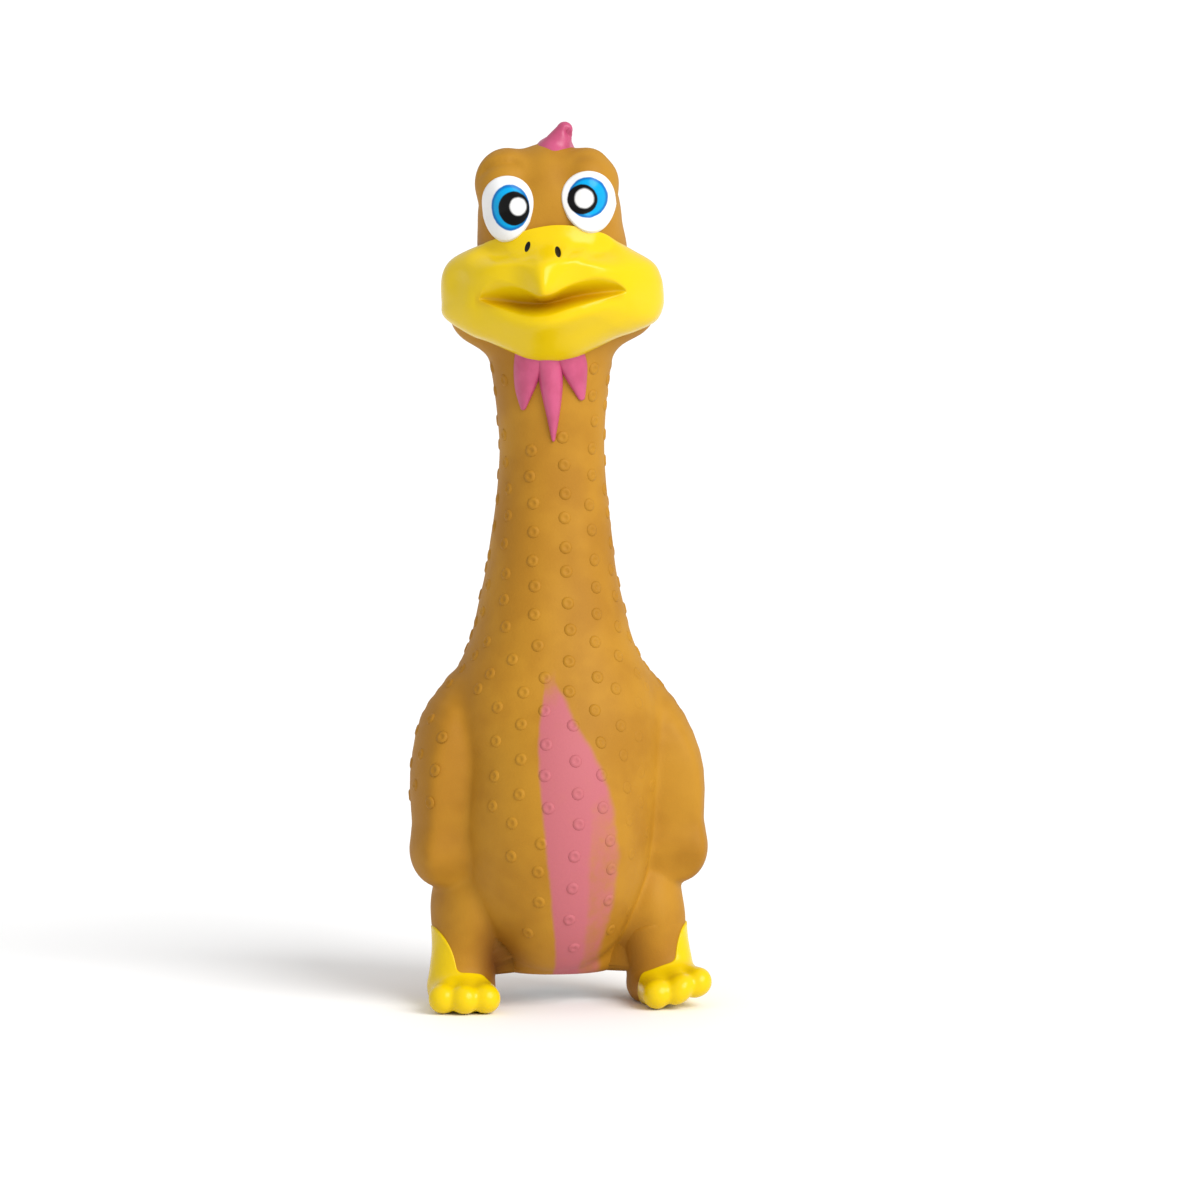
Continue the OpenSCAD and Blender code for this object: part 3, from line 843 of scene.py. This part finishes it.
def ring_points(p, sizes):
    """Each ring is a low round welt with a dimple: circles of points round its middle, laid on the
    skin and raised by a height that depends on the distance from the middle alone."""
    share = np.array([0.0, 0.3, 0.52, 0.74, 0.9, 1.06])
    rise = np.array([0.3, 0.42, 0.98, 0.8, 0.3, -0.12])
    spokes = 12
    r = sizes.ring_size / MM / 2
    normal = normals_of(skin_field, p)
    side = np.cross(normal, np.array([0, 0, 1.0]))
    side /= np.linalg.norm(side, axis=1, keepdims=True)
    up = np.cross(side, normal)
    angle = np.linspace(0, 2 * math.pi, spokes, endpoint=False)
    spot = np.vstack([[0, 0], *[np.column_stack([np.cos(angle), np.sin(angle)]) * s * r for s in share[1:]]])
    lift = np.concatenate([rise[:1], np.repeat(rise[1:], spokes)])
    laid = p[:, None] + side[:, None] * spot[None, :, :1] + up[:, None] * spot[None, :, 1:]
    flat = laid.reshape(-1, 3)
    for _ in range(2):
        flat = flat - normals_of(skin_field, flat) * skin_field(flat)[:, None]
    faint = 1 - 0.65 * smoothstep((p[:, 0] - 8) / 4) * (p[:, 1] < -4) * smoothstep((70 - p[:, 2]) / 8)
    height = lift[None] * (sizes.ring_height / MM) * np.where(lift[None] > 0, faint[:, None], 1)
    raised = flat.reshape(laid.shape) + normal[:, None] * height[..., None]
    under = p[:, None] - normal[:, None] * 0.5
    return np.concatenate([raised, under], axis=1), spokes, len(share) - 1


def make_rings(sizes):
    """The rings of the whole skin, in four pieces, one for each section of skin."""
    places = ring_places(sizes)
    origins = level_rays(places[:, 0], 1)[0].reshape(-1, 3)
    turn = places[:, 1]
    ways = np.column_stack([np.cos(turn), np.sin(turn), np.zeros(len(turn))])
    p = origins + ways * outermost(skin_field, origins, ways, HEAD_REACH)[:, None]
    # none where the skin is steep, in the arms' valleys, on the legs, under the bill or on the arms' ends
    slope = np.abs((normals_of(skin_field, p) * ways).sum(axis=1))
    valley = (np.abs(np.abs(p[:, 0]) - 20.5) < 3.4) & (p[:, 1] < 0) & (p[:, 2] < 60)
    legs = (p[:, 2] < 27) & (np.abs(p[:, 0]) > 13)
    chin = (p[:, 2] > 113) & (p[:, 1] < -5) & (np.abs(p[:, 0] + 3) < 8)
    lumps = (np.abs(p[:, 0]) > 24.5) & (p[:, 2] < np.where(p[:, 0] > 0, 60, 38))
    p = p[(slope > 0.78) & ~valley & ~legs & ~chin & ~lumps]
    root, low_seam, mid_seam, jaw = ((0, 0, z * MM) for z in (Z_ROOT, Z_LOW, Z_MID, Z_HEAD))
    sections = (
        ("body_rings", 0, Z_ROOT, "torso", "breast", *BREAST),
        ("lower_neck_rings", Z_ROOT, Z_LOW, "torso", "lower_neck", root, low_seam),
        ("middle_neck_rings", Z_LOW, Z_MID, "lower_neck", "upper_neck", low_seam, mid_seam),
        ("upper_neck_rings", Z_MID, 200, "upper_neck", "head", mid_seam, jaw),
    )
    for name, low, high, one, other, start, end in sections:
        here = p[(p[:, 2] >= low) & (p[:, 2] < high)]
        points, spokes, circles = ring_points(here, sizes)
        size = points.shape[1]
        quads = grid_faces(circles, spokes)[:, ::-1] + 1
        faces = [quads, cap_faces(1, spokes, 0, True)[:, ::-1],
                 cap_faces(1 + (circles - 1) * spokes, spokes, size - 1, False)[:, ::-1]]
        first = (np.arange(len(here)) * size)[:, None, None]
        faces = [(first + f[None]).reshape(-1, f.shape[1]) for f in faces]
        points = points.reshape(-1, 3)
        # the pink band, and the painted shade in the hollows by the legs
        marks = {"stripe": stripe_at(points), "dye": painted_crease_shade_at(points)}
        piece = new_mesh(name, points, faces, finish_named("latex"), marks)
        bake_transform(piece)


# ---------------------------------------------------------------- the bill

# Outline of the bill in the head's front view, round its middle. The bill leans: what lies this far
# before the head's middle keeps its height, and what lies further back is lower.
BILL_MIDDLE = (0.5, 141.6)
LEAN_FROM = 24.0
BILL_OUTLINE = [
    (21.7, -1.0), (21.4, 2.2), (20.0, 5.2), (16.2, 7.8), (13.2, 9.6), (11.0, 11.0), (7.8, 11.8),
    (5.2, 12.6), (1.4, 12.9), (-2.9, 12.4), (-6.4, 11.5), (-10.8, 10.8), (-16.4, 9.2), (-19.8, 7.4),
    (-21.5, 4.4), (-21.8, -0.4), (-21.3, -3.6), (-16.4, -7.3), (-12.6, -9.0), (-8.2, -11.2),
    (-4.6, -12.9), (0.0, -13.5), (4.2, -12.9), (8.0, -11.3), (12.2, -9.4), (16.0, -8.2),
    (19.8, -6.4), (21.4, -3.8),
]
UPPER_LIP = curve_through([
    (-13.4, -0.5), (-12.3, 1.3), (-10.4, 2.5), (-8, 2.0), (-5.4, 0.9), (-2.9, -0.6), (-1.3, -1.3),
    (0.6, -1.2), (2.6, -0.2), (4.7, 0.9), (8.8, 2.2), (12.2, 1.7), (14.8, -0.3),
])
MOUTH = curve_through([
    (-13.4, -0.7), (-11.5, -1.0), (-8, -1.4), (-5, -1.9), (-1.3, -2.2), (1.5, -1.9), (5, -1.2),
    (9, -0.7), (12, -0.5), (14.8, -0.5),
])
LOWER_LIP = curve_through([
    (-13.4, -0.9), (-9.4, -2.9), (-5.2, -4.5), (-1.3, -4.9), (4.1, -3.6), (9.4, -2.2), (14.8, -0.7),
])
NOSTRILS = ((-3.7, 8.9, 0.5, 1.1, 18), (2.3, 7.5, 0.55, 1.2, -14))


def bill_depth(x, z):
    """How far the bill's front stands before the head's middle, over the front view: a dome, with a
    ridge that grows down to a hooked tip, full cheeks with a dimple, a mouth that is deepest under
    the upper lip, and a full lower lip."""
    depth = 21.3 - 0.019 * x**2 - 0.03 * np.maximum(z - 3, 0) ** 2 - 0.036 * np.minimum(z + 2, 0) ** 2
    grow = smoothstep((13 - z) / 13)
    depth += 4.9 * grow * np.exp(-((x + 0.6) / (3.1 + 0.22 * np.maximum(z, 0))) ** 2)
    for side in (-1, 1):
        depth += 0.9 * hump(x, z, (side * 12, 3.6), 6, 4.6)
        depth += 0.7 * hump(x, z, (side * 16, -1.2), 2.2, 3.0)
    depth -= 1.5 * hump(x, z, (-18.2, 3.4), 2.3, 2.6)
    upper, middle, lower = (np.interp(x, k[:, 0], k[:, 1]) for k in (UPPER_LIP, MOUTH, LOWER_LIP))
    wide = np.clip(1 - ((x - 0.7) / 14.2) ** 2, 0, 1)
    above = smoothstep((upper + 0.4 - z) / np.maximum(upper + 0.4 - middle, 0.5))
    below = smoothstep((z - lower + 0.3) / np.maximum(middle - lower + 0.3, 0.5))
    groove = np.where(z > middle, above, below)
    depth -= 3.9 * groove * wide**0.6
    depth += 1.7 * np.exp(-((z - lower + 2.0) / 2.2) ** 2) * wide
    depth -= 4.6 * grow * np.exp(-((x + 0.6) / 3.1) ** 2) * smoothstep((upper - z) / 0.8)
    return depth


def nostril_at(x, z):
    """1 in the nostrils, which are small leaning ovals, and 0 elsewhere."""
    found = np.zeros_like(x)
    for at_x, at_z, wide, high, lean in NOSTRILS:
        c, s = math.cos(math.radians(lean)), math.sin(math.radians(lean))
        u, v = (x - at_x) * c - (z - at_z) * s, (x - at_x) * s + (z - at_z) * c
        found = np.maximum(found, smoothstep(1.5 - np.hypot(u / wide, v / high)))
    return found


def front_of_head(x, z):
    """Depth of the moulding in front of the head's middle, over its front view: rays march straight
    back from before the head until they arrive."""
    before = 40.0
    start = np.column_stack([x, np.full(len(x), -before), z])
    origins = from_head(start)
    way = from_head(np.array([[0, 1.0, 0]])) - from_head(np.zeros((1, 3)))
    t = np.zeros(len(x))
    for _ in range(40):
        t = np.minimum(t + HEAD_STRIDE * moulding(origins + way * t[:, None]), before)
    return before - t


def make_bill():
    """The bill as circles that grow from its middle to its outline, and close again behind it. The
    front follows bill_depth and rounds over to the head at the outline."""
    columns, circles = 420, 150
    edge = curve_through(BILL_OUTLINE, closed=True)
    angle = np.unwrap(np.arctan2(edge[:, 1], edge[:, 0]))
    radius = np.hypot(edge[:, 0], edge[:, 1])
    turn = np.linspace(0, 2 * math.pi, columns, endpoint=False)
    order = np.argsort(angle % (2 * math.pi))
    limit = np.interp(turn, (angle % (2 * math.pi))[order], radius[order], period=2 * math.pi)
    rim_x, rim_z = limit * np.cos(turn), limit * np.sin(turn)
    rim = front_of_head(rim_x + BILL_MIDDLE[0], rim_z + BILL_MIDDLE[1])
    rim = np.clip(rim, 3.2, None) - 0.15
    near = np.arange(-14, 15)
    rim = np.mean([np.roll(rim, step) for step in near], axis=0)
    share = np.sin(np.linspace(0, math.pi / 2, circles + 1)[1:])[:, None]
    x, z = rim_x * share, rim_z * share
    top = smoothstep((z - 2) / 6) * smoothstep((16.5 - np.abs(x)) / 10)
    over = (1 - share**3) ** (1 / 3)
    depth = bill_depth(x, z) - 0.5 * nostril_at(x, z)
    gentle = rim + (depth - rim) * smoothstep((1 - share) * limit / 8.5) + 0.25 * over
    depth = top * gentle + (1 - top) * (rim + (depth - rim) * over)
    lean = math.tan(math.radians(6))
    lifted = z + lean * (depth - LEAN_FROM)
    ground = front_of_head((x + BILL_MIDDLE[0]).ravel(), (lifted + BILL_MIDDLE[1]).ravel()).reshape(x.shape)
    depth = cross(depth, ground + 0.8 * over, 0.5 + 2.5 * top)
    back_share = np.array([0.985, 0.94, 0.86, 0.7])[:, None]
    back = np.maximum(rim - np.array([1.3, 2.4, 3.2, 3.8])[:, None], 0)
    place_x = np.append(np.vstack([x, rim_x * back_share]).ravel(), (0, 0))
    place_z = np.append(np.vstack([z, rim_z * back_share]).ravel(), (0, 0))
    depth = np.append(np.vstack([depth, back]).ravel(), (bill_depth(np.zeros(1), np.zeros(1))[0], 0))
    points = np.column_stack([
        place_x + BILL_MIDDLE[0], -depth, place_z + lean * (depth - LEAN_FROM) + BILL_MIDDLE[1]])
    count = len(points) - 2
    front = points[:, 1] < -8
    middle = np.interp(place_x, MOUTH[:, 0], MOUTH[:, 1])
    # painted shade along the mouth's groove, centred just under the mouth line
    pool = np.exp(-((place_z - middle + 0.3) / np.where(place_z > middle, 1.5, 1.2)) ** 2)
    pool *= np.clip(1 - (place_x / 14.6) ** 2, 0, 1) ** 0.5
    faces = [
        grid_faces(circles + 4, columns)[:, ::-1],
        cap_faces(0, columns, count, True)[:, ::-1],
        cap_faces(count - columns, columns, count + 1, False)[:, ::-1],
    ]
    attributes = {"pool": pool * front, "nostril": nostril_at(place_x, place_z) * front}
    piece = new_mesh("bill", from_head(points), faces, finish_named("yellow_paint"), attributes)
    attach(piece, "head")
    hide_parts("upper_bill", "lower_bill")


# ---------------------------------------------------------------- eyes, comb, wattle and legs

# Each eye's name, half width, half height and lean in degrees, then its iris, pupil and glint, each as
# its place from the eye's middle and its half width and half height
EYE_PAINTS = (
    ("right_eye", 5.25, 6.55, -8, (0.75, 0.2, 3.75, 4.45), (1.45, 0.0, 3.05, 3.3), (2.3, 0.35, 1.6, 1.7)),
    ("left_eye", 5.2, 6.15, 10, (-0.1, 0.9, 3.8, 3.95), (-1.2, 0.6, 2.95, 2.9), (-0.8, 0.75, 1.85, 1.9)),
)


def make_eye(name, at, half_wide, half_high, lean, iris, pupil, glint):
    """An egg-shaped dome on the head, narrower below, whose paint is marked by the distance inside
    each coat's edge. iris, pupil and glint are (x, z, half width, half height) from the eye's middle."""
    columns, circles = 200, 80
    turn = np.linspace(0, 2 * math.pi, columns, endpoint=False)[None, :]
    share = np.linspace(0, 1, circles + 1)[1:, None]
    c, s = math.cos(math.radians(lean)), math.sin(math.radians(lean))
    u = half_wide * np.cos(turn) * (1 + 0.14 * np.sin(turn)) * share
    v = half_high * np.sin(turn) * share
    x, z = u * c - v * s + at[0], u * s + v * c + at[1]
    ground = front_of_head(x.ravel(), z.ravel()).reshape(x.shape)
    dome = 0.2 + 1.35 * (1 - share**2) - 0.5 * smoothstep((share - 0.93) / 0.07)
    depth = ground + dome + 1.1 * smoothstep(-np.sin(turn) * share * 1.1)
    low = ground[-1:] - 2.0
    x, z = np.vstack([x, x[-1:] * 0.98 + at[0] * 0.02]), np.vstack([z, z[-1:] * 0.98 + at[1] * 0.02])
    points = np.stack([x, -np.vstack([depth, low]), z], axis=-1).reshape(-1, 3)
    count = len(points)
    middle = front_of_head(np.array([at[0]]), np.array([at[1]]))[0]
    points = np.vstack([points, [[at[0], -middle - 1.55, at[1]]], [[at[0], -middle + 3, at[1]]]])
    px, pz = points[:, 0] - at[0], points[:, 2] - at[1]
    coats = [
        (1 - np.hypot((px - cx) / wide, (pz - cz) / high)) * min(wide, high)
        for cx, cz, wide, high in (iris, pupil, glint)
    ]
    faces = [
        grid_faces(circles + 1, columns)[:, ::-1],
        cap_faces(0, columns, count, True)[:, ::-1],
        cap_faces(count - columns, columns, count + 1, False)[:, ::-1],
    ]
    piece = new_mesh(name, from_head(points), faces, finish_named("white_paint"),
                     {"paint": np.column_stack(coats)})
    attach(piece, "head")
    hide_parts(name)


def comb_field(p):
    """Three rods with round ends, in a row from front to back on one flat ellipsoid, each leaning to one
    side at its tip, with a small fold cut in the first."""
    q = to_head(p)
    form = ellipsoid(q, (2.1, -0.5, 166.6), (4.2, 9, 3.4))
    for i, (y, high) in enumerate(((-4.8, 171.5), (0.8, 170.4), (5.6, 169.2))):
        lobe = bone(q, (2.3, y, 167.4), (4.6 - 0.4 * i, y - 0.4, high), 3.2, 1.6)
        form = unite(form, lobe, 0.9)
    fold = ellipsoid(q, (5.4, -6.9, 170.4), (0.5, 1.4, 1.6), 20)
    return cross(form, -fold, 0.5)


def make_comb():
    """The comb: the surface where rays from inside its root last cross comb_field."""
    centre = from_head(np.array([[2.4, -0.5, 167.0]]))[0]
    piece = round_piece("comb_paint", comb_field, centre, 16, 80, 120, finish_named("pink_paint"))
    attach(piece, "head")
    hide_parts("comb")


def make_wattle():
    """Three lobes, each a flattened oval carried down a path and narrowed to its tip, that lie on the
    front of the neck."""
    lobes = (
        [(-2.6, 129.5, 3.2, 1.1), (-3.6, 125, 3.0, 1.5), (-4.6, 121, 2.0, 1.3), (-5.2, 117.6, 0.5, 0.5)],
        [(3.6, 129.5, 3.1, 1.1), (4.9, 125.4, 2.8, 1.5), (5.6, 122.2, 1.9, 1.3), (6.3, 118.9, 0.6, 0.5)],
        [(0.4, 129.8, 2.6, 1.4), (0.6, 122, 2.3, 2.1), (0.6, 116, 1.3, 1.6), (0.4, 111.2, 0.3, 0.5)],
    )
    columns = 40
    turn = np.linspace(0, 2 * math.pi, columns, endpoint=False)[None, :]
    points, faces, start = [], [], 0
    for path in lobes:
        rows = curve_through(path, 14)
        x = rows[:, :1] - 0.9 + rows[:, 2:3] * np.cos(turn)
        z = np.repeat(rows[:, 1:2], columns, axis=1) + 0.35 * rows[:, 2:3] * np.cos(turn) ** 2
        ground = front_of_head(x.ravel(), z.ravel()).reshape(x.shape)
        thick = rows[:, 3:4] * np.maximum(np.sin(turn), 0) - 0.5 * np.maximum(-np.sin(turn), 0)
        lobe = np.stack([x, -(ground + 0.05 + thick), z], axis=-1).reshape(-1, 3)
        ends = np.stack([lobe[:columns].mean(axis=0), lobe[-columns:].mean(axis=0)])
        count = len(lobe)
        faces += [
            (grid_faces(len(rows), columns) + start),
            (cap_faces(0, columns, count, True) + start),
            (cap_faces(count - columns, columns, count + 1, False) + start),
        ]
        points += [lobe, ends]
        start += count + 2
    faces = [np.vstack(faces[0::3]), np.vstack(faces[1::3] + faces[2::3])]
    piece = new_mesh("wattle_paint", from_head(np.vstack(points)), faces, finish_named("pink_paint"))
    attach(piece, "head")
    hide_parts("wattle")


def leg_marks(points):
    """No sprayed band on a leg, and its painted shade by the belly."""
    return {"stripe": np.zeros(len(points)), "dye": painted_crease_shade_at(points)}


def foot_marks(points):
    """No painted shade and no nostril in the paint of a foot."""
    return {"pool": np.zeros(len(points)), "nostril": np.zeros(len(points))}


def make_legs():
    """Each leg in latex, and over it the painted foot with its toes. Both are the surfaces where rays
    from inside the ankle last cross leg_field and foot_field."""
    latex, paint = finish_named("latex"), finish_named("yellow_paint")
    for side, x in (("right", -1), ("left", 1)):
        ankle, ball = (x * 19.6, -7, 6), (x * 21.2, -8.5, 3.4)
        leg = round_piece(side + "_leg", leg_field, ankle, LEG_REACH, 110, 150, latex, leg_marks)
        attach(leg, "torso")
        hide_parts(side + "_thigh")
        foot = round_piece(side + "_foot_paint", foot_field, ball, LEG_REACH, 130, 200, paint, foot_marks)
        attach(foot, "torso")
        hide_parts(side + "_foot")


def make_inner():
    """Gives the pieces inside the skin, which the frame carries over, their real finishes."""
    for row in frame["record"]["subparts"]:
        piece = frame["nodes"][row["node"]]
        if row["material_slot"] not in ("fibre", "clear_plastic", "brass", "latex"):
            continue
        piece.data.materials.clear()
        piece.data.materials.append(finish_named(row["material_slot"]))


# ---------------------------------------------------------------- stage

def make_stage():
    """A white floor, one broad soft light from the upper right, a pale surround, and the camera."""
    scene = bpy.context.scene
    size = 40.0
    bpy.ops.mesh.primitive_plane_add(size=size)
    floor = bpy.context.object
    floor.name = "floor"
    material, tree, shader = finish_of("white_paper", **{"Roughness": 0.7})
    tone = between(tree, grain(tree, 300).outputs["Fac"], 0.3, 0.7)
    tree.links.new(blended(tree, tone, linear("FAFAFA"), linear("F6F6F6")), shader.inputs["Base Color"])
    floor.data.materials.append(material)
    light = bpy.data.lights.new("softbox", "SUN")
    light.energy, light.angle = 2.8, math.radians(40)
    made = bpy.data.objects.new("softbox", light)
    made.rotation_euler = Vector((-0.52, 0.76, -0.60)).to_track_quat("-Z", "Y").to_euler()
    scene.collection.objects.link(made)
    world = bpy.data.worlds.new("studio")
    world.use_nodes = True
    world.node_tree.nodes["Background"].inputs["Color"].default_value = (1, 1, 1, 1)
    world.node_tree.nodes["Background"].inputs["Strength"].default_value = 0.75
    scene.world = world
    scene.view_settings.view_transform = "Standard"

    azimuth, lift, away = math.radians(-9.5), math.radians(6), 1.6
    back = Vector((math.sin(azimuth) * math.cos(lift), -math.cos(azimuth) * math.cos(lift), math.sin(lift)))
    right = Vector((math.cos(azimuth), math.sin(azimuth), 0))
    view_width = 0.236
    camera = bpy.data.cameras.new("camera")
    camera.lens = camera.sensor_width * away / view_width
    camera.clip_start, camera.clip_end = 0.05, 20
    made = bpy.data.objects.new("camera", camera)
    made.location = Vector((0, 0, 0.079)) + right * 0.00885 + back * away
    made.rotation_euler = (-back).to_track_quat("-Z", "Y").to_euler()
    scene.collection.objects.link(made)
    scene.camera = made


# ---------------------------------------------------------------- the add-on

def colour_property(name, description, code):
    """A colour that the user can change, with its default from an sRGB hex code."""
    return bpy.props.FloatVectorProperty(
        name=name, description=description, subtype="COLOR", size=3, min=0, max=1, default=linear(code))


class ChickenColours(bpy.types.PropertyGroup):
    """Colours of the dye and paints."""

    latex: colour_property("Latex", "Dyed latex where it is lightest", "AC7A1B")
    latex_deep: colour_property("Deep latex", "Dyed latex where it is darkest", "9E6C13")
    # painted shade: the latex colour in the hollows between the belly and each leg
    crease_shade: colour_property("Painted crease shade", "Latex darkened in the hollows by the legs, as painted shade", "683A00")
    stripe: colour_property("Stripe", "Pink sprayed on the breast", "B05F66")
    yellow: colour_property("Yellow", "Paint of the bill and feet", "D8B804")
    # painted shade: the yellow along the mouth's groove
    yellow_shaded: colour_property("Shaded yellow", "The same paint along the mouth's groove, as painted shade", "B07A00")
    pink: colour_property("Pink", "Paint of the comb and wattle", "B84870")
    pink_deep: colour_property("Deep pink", "The same paint where it is thicker", "AC3E64")
    sclera: colour_property("Eye white", "White of the eyes", "E0E0E0")
    iris: colour_property("Iris", "Blue of the eyes", "0098D2")
    iris_rim: colour_property("Iris rim", "Darker rim of the blue", "0468AE")
    pupil: colour_property("Pupil", "Black of the pupils and nostrils", "030304")


class ChickenSizes(bpy.types.PropertyGroup):
    """Sizes of the skin and its rings."""

    skin_wall: bpy.props.FloatProperty(
        name="Skin wall", description="Thickness of the latex", default=0.0018, min=0.001, max=0.0022,
        unit="LENGTH", precision=4)
    skin_step: bpy.props.FloatProperty(
        name="Skin step", description="Distance between rows of the skin's points", default=0.0005,
        min=0.0004, max=0.002, unit="LENGTH", precision=5)
    skin_columns: bpy.props.IntProperty(
        name="Skin columns", description="Points round the skin", default=336, min=48, max=360)
    ring_pitch: bpy.props.FloatProperty(
        name="Ring pitch", description="Distance between neighbouring rings", default=0.006,
        min=0.004, max=0.012, unit="LENGTH", precision=4)
    ring_size: bpy.props.FloatProperty(
        name="Ring size", description="Outside of a ring", default=0.0025, min=0.001, max=0.003,
        unit="LENGTH", precision=4)
    ring_height: bpy.props.FloatProperty(
        name="Ring height", description="How far a ring stands out", default=0.00028, min=0.0001,
        max=0.0008, unit="LENGTH", precision=5)


class CHICKEN_OT_stage(bpy.types.Operator):
    """Make the floor, the lights and the camera"""

    bl_idname = "chicken.stage"
    bl_label = "Stage"

    def execute(self, context):
        make_stage()
        return {"FINISHED"}


class CHICKEN_OT_skin(bpy.types.Operator):
    """Make the four sections of latex skin and the fibre in them"""

    bl_idname = "chicken.skin"
    bl_label = "Skin and filling"

    def execute(self, context):
        make_skin(context.scene.chicken_sizes)
        make_filling()
        return {"FINISHED"}


class CHICKEN_OT_rings(bpy.types.Operator):
    """Make the raised rings on the skin"""

    bl_idname = "chicken.rings"
    bl_label = "Rings"

    def execute(self, context):
        make_rings(context.scene.chicken_sizes)
        return {"FINISHED"}


class CHICKEN_OT_bill(bpy.types.Operator):
    """Make the bill with its mouth and nostrils"""

    bl_idname = "chicken.bill"
    bl_label = "Bill"

    def execute(self, context):
        make_bill()
        return {"FINISHED"}


class CHICKEN_OT_eyes(bpy.types.Operator):
    """Make the two painted eyes"""

    bl_idname = "chicken.eyes"
    bl_label = "Eyes"

    def execute(self, context):
        for middle, (name, *paint) in zip(EYES, EYE_PAINTS):
            make_eye(name, middle, *paint)
        return {"FINISHED"}


class CHICKEN_OT_comb_and_wattle(bpy.types.Operator):
    """Make the comb on the crown and the wattle under the bill"""

    bl_idname = "chicken.comb_and_wattle"
    bl_label = "Comb and wattle"

    def execute(self, context):
        make_comb()
        make_wattle()
        return {"FINISHED"}


class CHICKEN_OT_legs(bpy.types.Operator):
    """Make the legs and the painted feet"""

    bl_idname = "chicken.legs"
    bl_label = "Legs and feet"

    def execute(self, context):
        make_legs()
        return {"FINISHED"}


class CHICKEN_OT_inner(bpy.types.Operator):
    """Give the filling and the squeaker their finishes"""

    bl_idname = "chicken.inner"
    bl_label = "Filling and squeaker"

    def execute(self, context):
        make_inner()
        return {"FINISHED"}


OPERATORS = (
    CHICKEN_OT_stage, CHICKEN_OT_skin, CHICKEN_OT_rings, CHICKEN_OT_bill, CHICKEN_OT_eyes,
    CHICKEN_OT_comb_and_wattle, CHICKEN_OT_legs, CHICKEN_OT_inner,
)


class CHICKEN_PT_panel(bpy.types.Panel):
    """The sidebar panel of the chicken's pieces"""

    bl_idname = "CHICKEN_PT_panel"
    bl_label = "Rubber chicken"
    bl_space_type = "VIEW_3D"
    bl_region_type = "UI"
    bl_category = "Chicken"

    def draw(self, context):
        column = self.layout.column()
        for group in (context.scene.chicken_sizes, context.scene.chicken_colours):
            for key in group.__annotations__:
                column.prop(group, key)
        for operator in OPERATORS:
            column.operator(operator.bl_idname)


CLASSES = (ChickenColours, ChickenSizes, *OPERATORS, CHICKEN_PT_panel)


def register():
    """Registers the classes and hangs the properties on the scene."""
    for made in CLASSES:
        bpy.utils.register_class(made)
    bpy.types.Scene.chicken_colours = bpy.props.PointerProperty(type=ChickenColours)
    bpy.types.Scene.chicken_sizes = bpy.props.PointerProperty(type=ChickenSizes)


def unregister():
    """Takes the properties and classes away again."""
    del bpy.types.Scene.chicken_sizes
    del bpy.types.Scene.chicken_colours
    for made in reversed(CLASSES):
        bpy.utils.unregister_class(made)


def main():
    register()
    bpy.ops.chicken.stage()
    bpy.ops.chicken.skin()
    bpy.ops.chicken.rings()
    bpy.ops.chicken.bill()
    bpy.ops.chicken.eyes()
    bpy.ops.chicken.comb_and_wattle()
    bpy.ops.chicken.legs()
    bpy.ops.chicken.inner()


if __name__ == "__main__":
    main()
